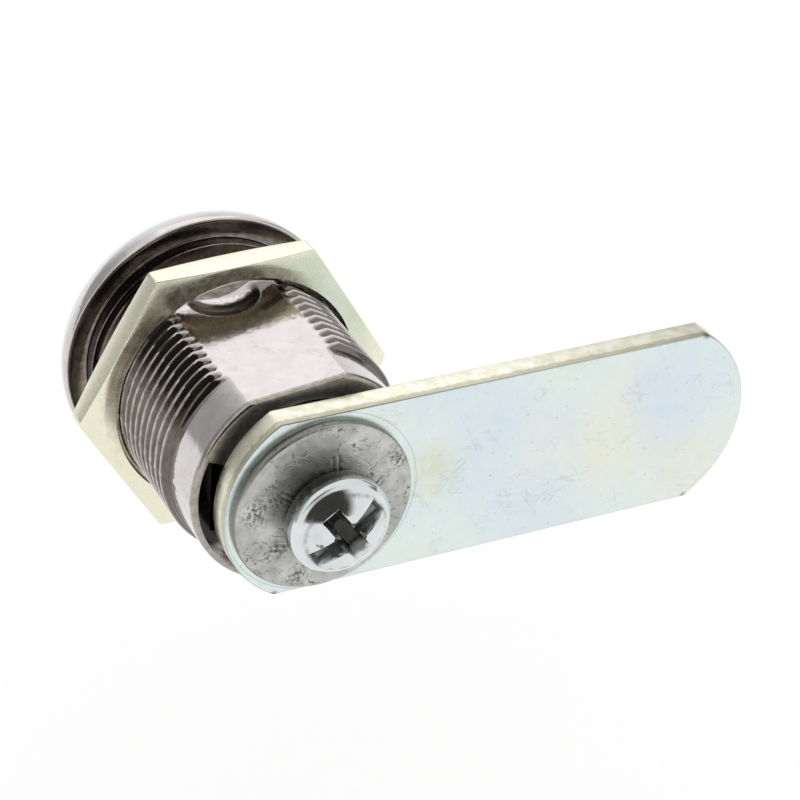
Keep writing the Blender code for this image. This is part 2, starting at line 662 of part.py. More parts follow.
def build_hex_nut(frame, material):
    """The thin nut that clamps the panel, chamfered at its corners and countersunk."""
    bottom, top = NUT_PLACE, NUT_PLACE + NUT_THICKNESS

    def draw_hexagon(shape):
        bmesh.ops.create_cone(shape, cap_ends=True, segments=6, radius1=NUT_CORNER_RADIUS,
                              radius2=NUT_CORNER_RADIUS, depth=NUT_THICKNESS)
        for vertex in shape.verts:
            vertex.co.z += (bottom + top) / 2

    nut = add_object("hex_nut", mesh_from("hex_nut", draw_hexagon), frame, material)
    nut.rotation_euler.z = math.radians(30.0 + NUT_ANGLE)
    chamfer = [
        (0.0, top),
        (NUT_FLAT_DISTANCE, top),
        (NUT_CORNER_RADIUS, top - NUT_CORNER_CHAMFER),
        (NUT_CORNER_RADIUS + OVERSHOOT, (top + bottom) / 2),
        (NUT_CORNER_RADIUS, bottom + NUT_CORNER_CHAMFER),
        (NUT_FLAT_DISTANCE, bottom),
        (0.0, bottom),
    ]
    chamfer_mesh = turned_mesh("nut_chamfer_guide", chamfer, False, FINE_SEGMENTS)
    apply_boolean(nut, add_object("nut_chamfer_guide", chamfer_mesh, frame), "INTERSECT")
    bore_radius = THREAD_CREST_RADIUS + RUNNING_GAP
    mouth = NUT_COUNTERSINK + OVERSHOOT
    bore = [
        (0.0, top + OVERSHOOT),
        (bore_radius + mouth, top + OVERSHOOT),
        (bore_radius, top - NUT_COUNTERSINK),
        (bore_radius, bottom + NUT_COUNTERSINK),
        (bore_radius + mouth, bottom - OVERSHOOT),
        (0.0, bottom - OVERSHOOT),
    ]
    bore_mesh = turned_mesh("nut_bore_cutter", bore, False)
    apply_boolean(nut, add_object("nut_bore_cutter", bore_mesh, frame))
    return nut


def build_lock():
    """Build every piece of the lock around its axis and lay the lock down."""
    nickel = new_material("bright_nickel", (0.72, 0.70, 0.68), 0.18, 1.0)
    plug_nickel = new_material("plug_nickel", (0.70, 0.68, 0.64), 0.25, 1.0)
    yellow_zinc = new_material("yellow_zinc", (0.80, 0.79, 0.62), 0.35, 1.0)
    blue_zinc = new_material("blue_zinc", (0.78, 0.87, 0.87), 0.30, 1.0)
    tumbled_steel = new_material("tumbled_steel", (0.56, 0.56, 0.55), 0.55, 1.0)
    bright_zinc = new_material("bright_zinc", (0.85, 0.88, 0.88), 0.16, 1.0)
    plain_steel = new_material("plain_steel", (0.50, 0.50, 0.49), 0.45, 1.0)
    brass = new_material("brass", (0.76, 0.61, 0.32), 0.35, 1.0)
    spring_steel = new_material("spring_steel", (0.55, 0.55, 0.56), 0.35, 1.0)

    lock_frame = new_empty("lock_frame")
    lock_frame.rotation_euler = (math.pi / 2, 0.0, 0.0)
    plug_axis = new_empty("plug_axis", lock_frame)
    plug_axis.rotation_euler = (0.0, 0.0, math.radians(CAM_ANGLE))

    build_housing(lock_frame, plug_axis, nickel)
    build_hex_nut(lock_frame, yellow_zinc)
    build_plug(plug_axis, plug_nickel)
    build_stop_plate(plug_axis, plain_steel)
    build_cam(plug_axis, blue_zinc)
    build_cam_washer(plug_axis, tumbled_steel)
    build_cam_screw(plug_axis, bright_zinc)
    for index in range(WAFER_COUNT):
        build_wafer(plug_axis, index, brass)
        build_wafer_spring(plug_axis, index, spring_steel)


clear_scene()
lock_parts = new_collection("cam_lock")
cutters = new_collection("cutters")
build_lock()
bpy.context.view_layer.update()
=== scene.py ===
"""Looks of the cam lock: fine surfaces, materials, studio light and camera.

Units are metres in the frame's own axes. The lock's axis is Y, with the key side at +Y.
Pieces are drawn with local Z running back along that axis from the plane of the head's
rim, and laid_down turns them into the frame. The head, thread and flats, the nut and the
washer are grids of points, one ring of columns after another along the section.
"""
import math

import bmesh
import bpy
import numpy as np
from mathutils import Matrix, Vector, noise


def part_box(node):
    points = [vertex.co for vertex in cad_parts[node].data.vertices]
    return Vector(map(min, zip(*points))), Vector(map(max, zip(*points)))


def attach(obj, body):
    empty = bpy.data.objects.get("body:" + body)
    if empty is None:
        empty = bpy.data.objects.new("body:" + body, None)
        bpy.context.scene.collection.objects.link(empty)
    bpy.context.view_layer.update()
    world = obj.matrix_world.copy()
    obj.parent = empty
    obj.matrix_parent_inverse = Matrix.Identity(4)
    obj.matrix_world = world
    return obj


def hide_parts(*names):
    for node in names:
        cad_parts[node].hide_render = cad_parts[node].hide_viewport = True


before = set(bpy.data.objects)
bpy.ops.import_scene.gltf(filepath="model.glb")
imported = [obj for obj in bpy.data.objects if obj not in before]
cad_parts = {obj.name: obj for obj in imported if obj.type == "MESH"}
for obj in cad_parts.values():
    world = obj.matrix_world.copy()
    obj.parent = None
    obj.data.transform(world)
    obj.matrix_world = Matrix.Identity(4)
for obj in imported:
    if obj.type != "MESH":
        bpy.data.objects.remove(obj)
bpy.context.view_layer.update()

MM = 0.001

# Stations along the axis, taken from the frame
HOUSING_LOW, HOUSING_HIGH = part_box("housing")
NUT_LOW, NUT_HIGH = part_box("hex_nut")
CAM_LOW, CAM_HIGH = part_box("cam")
WASHER_LOW, WASHER_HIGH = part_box("cam_washer")
SCREW_LOW, SCREW_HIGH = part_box("cam_screw")
HEAD_RADIUS = HOUSING_HIGH.x
HEAD_HEIGHT = HOUSING_HIGH.y
BODY_LENGTH = -HOUSING_LOW.y
NUT_FRONT = -NUT_HIGH.y
NUT_REAR = -NUT_LOW.y
CAM_BACK = -CAM_HIGH.y
CAM_FRONT = -CAM_LOW.y
WASHER_FRONT = CAM_FRONT + (WASHER_HIGH.y - WASHER_LOW.y) + 0.05 * MM
SCREW_TOP = -SCREW_LOW.y
SCREW_TIP = -SCREW_HIGH.y

# Housing
BORE_RADIUS = 6.2 * MM
FLANGE_BORE_RADIUS = 6.9 * MM
FLANGE_SEAT = -2.7 * MM
STOP_BORE_RADIUS = 6.9 * MM
STOP_FLOOR = BODY_LENGTH - 1.0 * MM
THREAD_CREST_RADIUS = 9.4 * MM
THREAD_DEPTH = 0.45 * MM
THREAD_PITCH = 1.0 * MM
THREAD_END = BODY_LENGTH - 3.9 * MM
COLLAR_RADIUS = 8.85 * MM
COLLAR_EDGE = 0.35 * MM
FLAT_DISTANCE = 8.0 * MM
FLAT_EDGE = 0.22 * MM
THREAD_FADE = math.radians(6.0)
THREAD_RUN_IN = 0.6 * MM
THREAD_RUN_OUT = 0.5 * MM
TOOTH_HALF_SHARE = 0.46
TOOTH_FLANK_SHARE = 0.38
DISH_RADIUS = 2.75 * MM
DISH_DEPTH = 0.85 * MM
DISH_PLACE = 5.35 * MM
DISH_RIM = 0.05 * MM
# Place, across and back, of the painted dark reflection of the nut's bore on the upper flat
FLAT_BORE_REFLECTION = (3.1 * MM, 5.9 * MM)
PILOT_RADIUS = 9.5 * MM
PILOT_LENGTH = 0.55 * MM
RECESS_DEPTH = 0.7 * MM
RIM_WIDTH = 0.35 * MM
FACE_RADIUS = 7.7 * MM
EDGE_HEIGHT = 0.4 * MM
DOME_POWER = 1.1
PARTING_ANGLE = math.radians(175.5)
PARTING_HEIGHT = 0.06 * MM
PARTING_WIDTH = 0.09 * MM
POCKET_START = math.radians(150.0)
POCKET_END = math.radians(268.0)
POCKET_DEPTH = 1.25 * MM
POCKET_RIM = 0.45 * MM
POCKET_FLAT_WALL = 0.65 * MM
POCKET_INNER_RADIUS = 5.2 * MM
GROOVE_REACH = 6.9 * MM
GROOVE_HALF_WIDTH = 3.6 * MM

# Nut, cam, washer and screw
NUT_ANGLE = math.radians(-4.3)
NUT_FLAT_DISTANCE = 11.0 * MM
NUT_BORE_RADIUS = 9.46 * MM
NUT_COUNTERSINK = 0.35 * MM
NUT_CHAMFER_SLOPE = 0.176
NUT_EDGE = 0.07 * MM
CAM_ANGLE = math.radians(-6.0)
CAM_WIDTH = 14.8 * MM
CAM_REACH = 35.6 * MM
CAM_HEEL = 7.65 * MM
CAM_END_RISE = 4.125 * MM
CAM_EDGE = 0.11 * MM
CAM_HOLE = 8.2 * MM
WASHER_RADIUS = 7.0 * MM
WASHER_EDGE = 0.36 * MM
WASHER_BORE = 2.2 * MM
WASHER_OFFSET = (-0.2 * MM, 0.1 * MM, 0.0)
SCREW_RADIUS = 2.0 * MM
SCREW_HEAD_RADIUS = 3.9 * MM
SCREW_CROWN_RISE = 1.35 * MM
SCREW_HEAD_EDGE = 0.6 * MM
SCREW_PITCH = 0.7 * MM
SCREW_RECESS_ANGLE = math.radians(30.0)
SCREW_HEAD_FOOT = 1.2 * MM
SCREW_THREAD_DEPTH = 0.35 * MM
RECESS_EDGE = 0.08 * MM

# Screw recess, in millimetres: height over the crown, half length, half width
SLOT_LEVELS = ((0.6, 3.65, 0.86), (-0.7, 3.30, 0.78), (-1.5, 2.70, 0.62))
CROSS_LEVELS = ((0.6, 2.60, 0.80), (-0.6, 2.45, 0.74), (-2.0, 2.05, 0.50))

# Marks on the screw, washer and cam: places and sizes in millimetres
SCREW_NICKS = ((-2.45, -0.02), (-2.15, -0.12), (-1.8, -0.26))
NICK_DEPTH = 0.42
WASHER_DENTS = (
    ((1.12, 4.32), (1.04, 2.27)),
    ((-3.33, 2.56), (-1.89, 1.17)),
    ((-4.54, -1.98), (-2.87, -2.57)),
    ((4.08, 0.47), (4.73, 1.18)),
)
DENT_DEPTH = 0.09
DENT_RIDGE_HEIGHT = 0.03
DENT_RIDGE_WIDTH = 0.06
DENT_WIDTH = 0.085
DENT_SPACING = 0.22
DENT_END = 0.25
CAM_SCRIBE_RADIUS = 7.5
CAM_PATCHES = (
    (25.6, -1.6, 3.2, (0.84, 0.84, 0.70)),
    (23.4, -3.6, 2.4, (0.82, 0.84, 0.72)),
    (9.0, -0.2, 1.7, (0.74, 0.74, 0.58)),
    (28.6, -1.4, 2.6, (0.66, 0.76, 0.88)),
    (28.0, 1.6, 2.0, (0.70, 0.78, 0.86)),
    (14.5, 0.4, 3.2, (0.68, 0.78, 0.88)),
    (15.0, -4.4, 2.6, (0.70, 0.79, 0.88)),
    (17.5, -1.5, 2.6, (0.80, 0.84, 0.80)),
    (31.0, -8.0, 2.6, (0.84, 0.84, 0.72)),
)
WASHER_SCUFFS = (
    ((-5.3, 1.5), 1.1),
    ((5.7, 2.7), 1.0),
    ((-2.7, -5.3), 0.9),
    ((-3.6, 2.1), 0.9),
    ((-3.9, -2.2), 0.7),
)

# Camera, as the photograph was taken
CAMERA_PLACE = (-54.69 * MM, -153.7 * MM, 110.3 * MM)
CAMERA_TURN = (54.46, 1.65, -26.1)
CAMERA_LENS = 113.0
SENSOR_WIDTH = 36.0

# Room in the reflections: tones along DARK_SIDE, and fades as side, start, end and what is left
DARK_SIDE = (-0.2, -0.91, 0.36)
ROOM_TONES = ((0.70, (0.95, 0.95, 0.95, 1.0)), (0.84, (0.05, 0.045, 0.04, 1.0)))
SIDE_FADES = (
    ((-0.75, 0.62, -0.1), 0.5, 0.85, 0.45),
    ((0.95, 0.3, 0.02), 0.87, 0.95, 0.2),
)

# Light
AMBIENT_COLOR = (0.9, 0.9, 0.9, 1.0)
AMBIENT_STRENGTH = 0.8
WHITE = (1.0, 1.0, 1.0, 1.0)
SOFTBOX_PLACE = (0.10, 0.22, 0.19)
SOFTBOX_TARGET = (0.0, -0.01, 0.0)
SOFTBOX_SIZE = (0.22, 0.16)
SOFTBOX_ENERGY = 0.04

# The floor lies clear of the cam when it has turned down
FLOOR_GAP = 0.5 * MM
FLOOR_HALF = 1.5
FLOOR_COLOR = (0.85, 0.85, 0.85, 1.0)
FLOOR_VEIL = (0.55, 0.55, 0.55, 1.0)
FLOOR_LIFT = 0.6

# Grid density
ARC_COLUMNS = 96
TOP_COLUMNS = 64
BOTTOM_COLUMNS = 32
ROWS_PER_PITCH = 14
NUT_SIDE_COLUMNS = 40
WASHER_COLUMNS = 360
SCREW_COLUMNS = 128
CORNER_CROWDING = 0.6
NUT_CORNER_CROWDING = 0.7
WELD_DISTANCE = 0.0005 * MM
SHARP_ANGLE = math.radians(40.0)
RECESS_SHARP_ANGLE = math.radians(42.0)


def laid_down(points):
    """Turn local points (x, y, back) into the frame's (x, -back, y)."""
    points = np.asarray(points, float)
    return np.stack([points[..., 0], -points[..., 2], points[..., 1]], axis=-1)


def turned(points, angle):
    """Turn local points about the lock's axis."""
    points = np.asarray(points, float)
    x = points[..., 0] * math.cos(angle) - points[..., 1] * math.sin(angle)
    y = points[..., 0] * math.sin(angle) + points[..., 1] * math.cos(angle)
    return np.stack([x, y, points[..., 2]], axis=-1)


def spread(count, crowd):
    """Shares from 0 up to 1 without the last, crowded towards both ends."""
    share = np.arange(count) / count
    return share - crowd * np.sin(math.tau * share) / math.tau


def smoothstep(value):
    """Ease from 0 to 1, held at the ends."""
    value = np.clip(value, 0.0, 1.0)
    return value * value * (3.0 - 2.0 * value)


def grid_mesh(name, grid, close_rows=False):
    """Skin a grid of local points, (row, column, xyz), whose columns go once round."""
    rows, columns = grid.shape[:2]
    index = np.arange(rows * columns).reshape(rows, columns)
    if close_rows:
        index = np.vstack([index, index[:1]])
    lower, upper = index[:-1], index[1:]
    faces = np.stack([lower, np.roll(lower, -1, 1), np.roll(upper, -1, 1), upper], axis=-1)
    mesh = bpy.data.meshes.new(name)
    mesh.from_pydata(laid_down(grid).reshape(-1, 3).tolist(), [], faces.reshape(-1, 4).tolist())
    return cleaned(mesh)


def cleaned(mesh):
    """Weld a mesh, turn its faces outwards and smooth it between its sharp edges."""
    shape = bmesh.new()
    shape.from_mesh(mesh)
    bmesh.ops.remove_doubles(shape, verts=shape.verts, dist=WELD_DISTANCE)
    bmesh.ops.recalc_face_normals(shape, faces=shape.faces)
    shape.to_mesh(mesh)
    shape.free()
    mesh.shade_smooth()
    mesh.set_sharp_from_angle(angle=SHARP_ANGLE)
    return mesh


def turned_grid(profile, columns):
    """Rings of a turned section, from its (radius, back) points."""
    angle = math.tau * np.arange(columns) / columns
    rings = [np.stack([r * np.cos(angle), r * np.sin(angle), np.full(columns, z)], axis=-1)
             for r, z in profile]
    return np.array(rings)


def arc_points(center, radius, start, end, count):
    """Points of a section's fillet, from start to end in degrees."""
    angles = np.radians(np.linspace(start, end, count + 1))
    return [(center[0] + radius * math.cos(a), center[1] + radius * math.sin(a)) for a in angles]


def placed(name, data):
    """Put new data into the scene as an object."""
    item = bpy.data.objects.new(name, data)
    bpy.context.scene.collection.objects.link(item)
    return item


def new_piece(name, mesh, material, body, *replaced):
    """Add a dressed piece that rides a body in place of the nodes named last."""
    piece = placed(name, mesh)
    mesh.materials.clear()
    mesh.materials.append(material)
    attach(piece, body)
    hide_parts(*replaced)
    return piece


def applied(item, name):
    """Return the mesh of an object with its modifiers or bevel applied, and drop the object."""
    bpy.context.view_layer.update()
    evaluated = item.evaluated_get(bpy.context.evaluated_depsgraph_get())
    result = bpy.data.meshes.new_from_object(evaluated)
    result.name = name
    bpy.data.objects.remove(item)
    return result


def cut(mesh, cutters):
    """Return the mesh with each cutter mesh taken out of it."""
    target = placed("cut_target", mesh)
    helpers = [placed("cutter", cutter) for cutter in cutters]
    for helper in helpers:
        modifier = target.modifiers.new("cut", "BOOLEAN")
        modifier.solver = "EXACT"
        modifier.object = helper
    result = applied(target, mesh.name)
    for helper in helpers:
        bpy.data.objects.remove(helper)
    return cleaned(result)


def beveled(mesh, width, angle, segments=2):
    """Return the mesh with the edges sharper than angle rounded off."""
    item = placed("bevel_target", mesh)
    bevel = item.modifiers.new("edge", "BEVEL")
    bevel.width = width
    bevel.segments = segments
    bevel.limit_method = "ANGLE"
    bevel.angle_limit = angle
    return cleaned(applied(item, mesh.name))


def thread_radius(angle, z):
    """Radius of the housing between its pilot and its collar, thread included."""
    root = THREAD_CREST_RADIUS - THREAD_DEPTH
    first_crest = THREAD_END - THREAD_PITCH / 2
    turn = (z - first_crest) / THREAD_PITCH - angle / math.tau
    from_crest = np.abs(turn - np.round(turn))
    tooth = np.clip((TOOTH_HALF_SHARE - from_crest) / TOOTH_FLANK_SHARE, 0.0, 1.0)
    flat_corner = math.asin(FLAT_DISTANCE / root)
    toward_flat = np.arcsin(np.abs(np.sin(angle)))
    tooth = tooth * smoothstep((flat_corner - toward_flat) / THREAD_FADE)
    run_out = smoothstep((THREAD_END + 0.1 * MM - z) / THREAD_RUN_OUT)
    run_in = smoothstep((z - PILOT_LENGTH) / THREAD_RUN_IN)
    base = COLLAR_RADIUS + (root - COLLAR_RADIUS) * run_out
    return base + THREAD_DEPTH * tooth * run_out * run_in


def parting_bump(angle):
    """Low ridge that the casting die leaves along the body."""
    offset = (np.mod(angle - PARTING_ANGLE + math.pi, math.tau) - math.pi) * COLLAR_RADIUS
    return PARTING_HEIGHT * np.exp(-(offset / PARTING_WIDTH) ** 2)


def corner_angles(radius_at, z, flat):
    """Angles at which a ring meets the two flats, going once round from +X."""
    corners = []
    for base, side in ((0.0, 1), (math.pi, -1), (math.pi, 1), (math.tau, -1)):
        angle = base + side * math.asin(flat / COLLAR_RADIUS)
        for _ in range(8):
            angle = base + side * math.asin(min(1.0, flat / float(radius_at(angle, z))))
        corners.append(angle)
    return corners


def dish_depth(x, z):
    """Depth of the round dish pressed into the upper flat, with a rolled rim."""
    ball = (DISH_RADIUS ** 2 + DISH_DEPTH ** 2) / (2 * DISH_DEPTH)
    reach = np.minimum(np.hypot(x, z - DISH_PLACE), ball)
    depth = np.sqrt(ball ** 2 - reach ** 2) - (ball - DISH_DEPTH)
    return 0.5 * (depth + np.sqrt(depth ** 2 + DISH_RIM ** 2)) * (depth > -8 * DISH_RIM)


def flatted_ring(radius_at, flat, z):
    """One ring of the housing behind its pilot: two arcs joined by two flats."""
    right_top, left_top, left_low, right_low = corner_angles(radius_at, z, flat)
    share = spread(ARC_COLUMNS, CORNER_CROWDING)
    points = []
    for start, end, flat_y, count in (
            (right_low - math.tau, right_top, flat, TOP_COLUMNS),
            (left_top, left_low, -flat, BOTTOM_COLUMNS)):
        angle = start + (end - start) * share
        radius = radius_at(angle, z)
        points.append(np.stack([radius * np.cos(angle), radius * np.sin(angle)], axis=-1))
        corner_x = float(radius_at(end, z)) * math.cos(end)
        x = corner_x * (1.0 - 2.0 * spread(count, CORNER_CROWDING))
        y = np.full(count, flat_y)
        if flat_y > 0:
            y = y - dish_depth(x, z)
        points.append(np.stack([x, y], axis=-1))
    ring = np.concatenate(points)
    corners = (ARC_COLUMNS, ARC_COLUMNS + TOP_COLUMNS, 2 * ARC_COLUMNS + TOP_COLUMNS, 0)
    ring = eased(ring, corners, reach=5, passes=10)
    return np.column_stack([ring, np.full(len(ring), z)])


def eased(ring, corners, reach, passes):
    """Round a closed ring off near the given corner columns."""
    index = np.arange(len(ring))
    weight = np.zeros(len(ring))
    for corner in corners:
        gap = np.abs((index - corner + len(ring) // 2) % len(ring) - len(ring) // 2)
        weight = np.maximum(weight, smoothstep(1.0 - gap / reach))
    for _ in range(passes):
        middle = (np.roll(ring, 1, 0) + np.roll(ring, -1, 0)) / 2
        ring = ring + 0.5 * weight[:, None] * (middle - ring)
    return ring


def head_section():
    """Section of the head from the pilot's foot, round its rim and dome, to the bore."""
    rim_inner = HEAD_RADIUS - RIM_WIDTH
    middle = (PILOT_RADIUS + rim_inner) / 2
    half = (rim_inner - PILOT_RADIUS) / 2
    points = [(PILOT_RADIUS - 0.06 * MM, PILOT_LENGTH), (PILOT_RADIUS, PILOT_LENGTH - 0.06 * MM)]
    for share in np.linspace(0.0, 1.0, 15):
        angle = math.pi * share
        radius = middle - half * math.cos(angle)
        depth = RECESS_DEPTH * (0.72 + 0.28 * math.sin(angle))
        points.append((radius, -depth))
    points += [(rim_inner, -0.08 * MM), (rim_inner + 0.04 * MM, -0.01 * MM),
               (rim_inner + 0.1 * MM, 0.0), (HEAD_RADIUS - 0.1 * MM, 0.0),
               (HEAD_RADIUS - 0.03 * MM, -0.03 * MM), (HEAD_RADIUS, -0.1 * MM)]
    for step in np.linspace(0.0, 90.0, 40):
        slope = math.radians(step)
        inward = max(0.0, math.cos(slope)) ** DOME_POWER
        upward = math.sin(slope) ** DOME_POWER
        radius = FACE_RADIUS + (HEAD_RADIUS - FACE_RADIUS) * inward
        depth = EDGE_HEIGHT + (HEAD_HEIGHT - EDGE_HEIGHT) * upward
        points.append((radius, -depth))
    points += [(FLANGE_BORE_RADIUS + 0.1 * MM, -HEAD_HEIGHT),
               (FLANGE_BORE_RADIUS, -HEAD_HEIGHT + 0.1 * MM),
               (FLANGE_BORE_RADIUS, FLANGE_SEAT), (BORE_RADIUS, FLANGE_SEAT), (BORE_RADIUS, STOP_FLOOR)]
    return points


def housing_grid():
    """All rings of the housing, from the stop recess over the outside and up the bore."""
    rings = []
    ring_at_pilot = flatted_ring(lambda a, z: a * 0 + THREAD_CREST_RADIUS - THREAD_DEPTH,
                                 FLAT_DISTANCE, PILOT_LENGTH + 0.05 * MM)
    angle = np.arctan2(ring_at_pilot[:, 1], ring_at_pilot[:, 0])

    def add_round(radius, z):
        level = np.full(len(angle), z)
        rings.append(np.column_stack([radius * np.cos(angle), radius * np.sin(angle), level]))

    def collar_radius(edge):
        return lambda a, z: COLLAR_RADIUS - edge + parting_bump(a)

    add_round(STOP_BORE_RADIUS, STOP_FLOOR)
    add_round(STOP_BORE_RADIUS, BODY_LENGTH)
    for slope in np.radians(np.linspace(0.0, 90.0, 7)):
        inset = 1.0 - math.sin(slope)
        z = BODY_LENGTH - COLLAR_EDGE * (1.0 - math.cos(slope))
        flat = FLAT_DISTANCE - FLAT_EDGE * inset
        rings.append(flatted_ring(collar_radius(COLLAR_EDGE * inset), flat, z))
    step = THREAD_PITCH / ROWS_PER_PITCH
    for z in np.arange(BODY_LENGTH - COLLAR_EDGE - 0.15 * MM, THREAD_END + 0.2 * MM, -2.5 * step):
        rings.append(flatted_ring(collar_radius(0.0), FLAT_DISTANCE, z))
    for z in np.arange(THREAD_END + 0.15 * MM, PILOT_LENGTH, -step):
        rings.append(flatted_ring(lambda a, z: thread_radius(a, z) + parting_bump(a), FLAT_DISTANCE, z))
    rings.append(flatted_ring(lambda a, z: thread_radius(a, z), FLAT_DISTANCE, PILOT_LENGTH))
    for radius, z in head_section():
        add_round(radius, z)
    return np.array(rings)


def box_mesh(low, high, angle=0.0):
    """A box from its local corners, turned about the axis."""
    shape = bmesh.new()
    bmesh.ops.create_cube(shape, size=1.0)
    low, high = np.array(low), np.array(high)
    for vertex in shape.verts:
        local = low + (np.array(vertex.co) + 0.5) * (high - low)
        vertex.co = Vector(laid_down(turned(local, angle)))
    bmesh.ops.recalc_face_normals(shape, faces=shape.faces)
    mesh = bpy.data.meshes.new("box")
    shape.to_mesh(mesh)
    shape.free()
    return mesh


def prism_mesh(outline, bottom, top):
    """A flat outline of local (x, y) points drawn from bottom to top."""
    shape = bmesh.new()
    lower = [shape.verts.new(Vector(laid_down((x, y, bottom)))) for x, y in outline]
    face = shape.faces.new(lower)
    extruded = bmesh.ops.extrude_face_region(shape, geom=[face])["geom"]
    rise = Vector(laid_down((0.0, 0.0, top - bottom)))
    bmesh.ops.translate(shape, vec=rise, verts=[v for v in extruded if isinstance(v, bmesh.types.BMVert)])
    bmesh.ops.recalc_face_normals(shape, faces=shape.faces)
    mesh = bpy.data.meshes.new("prism")
    shape.to_mesh(mesh)
    shape.free()
    return mesh


def stop_pocket():
    """The sector in the rear face that the stop plate's lug sweeps through."""
    radius = COLLAR_RADIUS - POCKET_RIM
    limit = FLAT_DISTANCE - POCKET_FLAT_WALL
    outer = []
    for angle in np.linspace(POCKET_START, POCKET_END, 60):
        x, y = radius * math.cos(angle), radius * math.sin(angle)
        if y < -limit:
            x, y = x * limit / abs(y), -limit
            if not outer or outer[-1][1] > -limit:
                outer.append((-math.sqrt(radius ** 2 - limit ** 2), -limit))
            continue
        outer.append((x, y))
    outer.append((limit * math.cos(POCKET_END) / abs(math.sin(POCKET_END)), -limit))
    inner = [(POCKET_INNER_RADIUS * math.cos(a), POCKET_INNER_RADIUS * math.sin(a))
             for a in np.linspace(POCKET_END, POCKET_START, 24)]
    return prism_mesh(outer + inner, BODY_LENGTH - POCKET_DEPTH, BODY_LENGTH + 1.0 * MM)


def make_housing():
    """The housing, with its stop pocket and wafer groove cut in."""
    mesh = grid_mesh("lock_housing", housing_grid(), close_rows=True)
    groove_low = (-GROOVE_REACH, -GROOVE_HALF_WIDTH, 0.0)
    groove_high = (GROOVE_REACH, GROOVE_HALF_WIDTH, STOP_FLOOR + 0.5 * MM)
    cutters = [stop_pocket(), box_mesh(groove_low, groove_high, CAM_ANGLE)]
    return new_piece("lock_housing", cut(mesh, cutters), nickel(), "housing", "housing")


def make_nut():
    """The hexagon nut with turned corners, a countersunk bore and slightly broken edges."""
    corner = NUT_FLAT_DISTANCE * 2 / math.sqrt(3)
    turns = NUT_ANGLE + np.radians(60.0) * np.arange(7)
    corners = corner * np.stack([np.cos(turns), np.sin(turns)], axis=-1)
    share = spread(NUT_SIDE_COLUMNS, NUT_CORNER_CROWDING)[:, None]
    outline = np.concatenate([start + (end - start) * share for start, end in zip(corners, corners[1:])])
    outline = eased(outline, range(0, len(outline), NUT_SIDE_COLUMNS), reach=4, passes=6)
    reach = np.hypot(outline[:, 0], outline[:, 1])
    direction = outline / reach[:, None]
    chamfer = np.maximum(0.0, reach - NUT_FLAT_DISTANCE) * NUT_CHAMFER_SLOPE

    def ring(radius, z):
        return np.column_stack([direction * np.broadcast_to(radius, reach.shape)[:, None],
                                np.broadcast_to(z, reach.shape)])

    rings = []
    middle = (NUT_FRONT + NUT_REAR) / 2
    for side in (1, -1):
        face = NUT_REAR if side > 0 else NUT_FRONT
        half = [
            ring(NUT_BORE_RADIUS, middle + side * 0.2 * MM),
            ring(NUT_BORE_RADIUS, face - side * NUT_COUNTERSINK),
            ring(NUT_BORE_RADIUS + NUT_COUNTERSINK * 0.9, face - side * 0.03 * MM),
            ring(NUT_BORE_RADIUS + NUT_COUNTERSINK, face),
            ring(NUT_FLAT_DISTANCE - 0.35 * MM, face),
            ring(np.minimum(NUT_FLAT_DISTANCE - 0.1 * MM, reach), face),
        ]
        for share in (0.0, 0.35, 0.7, 1.0):
            inset = NUT_EDGE * (1.0 - math.sin(share * math.pi / 2))
            drop = NUT_EDGE * (1.0 - math.cos(share * math.pi / 2))
            half.append(ring(reach - inset, face - side * (chamfer + drop)))
        rings.append(half)
    grid = np.array(rings[0] + rings[1][::-1])
    mesh = grid_mesh("lock_nut", grid, close_rows=True)
    return new_piece("lock_nut", mesh, yellow_zinc(), "nut", "hex_nut")


def make_cam():
    """The flat cam: a bar with arc ends and a square hole, its edges broken."""
    half_width = CAM_WIDTH / 2
    radius = (half_width ** 2 + CAM_END_RISE ** 2) / (2 * CAM_END_RISE)
    corner = math.asin(half_width / radius)
    outline = [(CAM_REACH - radius + radius * math.cos(a), radius * math.sin(a))
               for a in np.linspace(-corner, corner, 48)]
    outline += [(radius - CAM_HEEL + radius * math.cos(a), radius * math.sin(a))
                for a in np.linspace(math.pi - corner, math.pi + corner, 48)]
    half_hole = CAM_HOLE / 2
    hole = [(-half_hole, -half_hole), (half_hole, -half_hole),
            (half_hole, half_hole), (-half_hole, half_hole)]
    curve = bpy.data.curves.new("lock_cam", "CURVE")
    curve.dimensions = "2D"
    curve.fill_mode = "BOTH"
    curve.extrude = (CAM_FRONT - CAM_BACK) / 2 - CAM_EDGE
    curve.bevel_depth = CAM_EDGE
    curve.bevel_resolution = 2
    curve.offset = -CAM_EDGE
    for points in (outline, hole):
        spline = curve.splines.new("POLY")
        spline.points.add(len(points) - 1)
        for point, (x, y) in zip(spline.points, points):
            point.co = (x, y, 0.0, 1.0)
        spline.use_cyclic_u = True
    mesh = applied(placed("cam_curve", curve), "lock_cam")
    local = np.array([vertex.co for vertex in mesh.vertices])
    local[:, 2] += (CAM_FRONT + CAM_BACK) / 2
    for vertex, place in zip(mesh.vertices, laid_down(turned(local, CAM_ANGLE))):
        vertex.co = place
    return new_piece("lock_cam", cleaned(mesh), cam_zinc(), "plug", "cam")


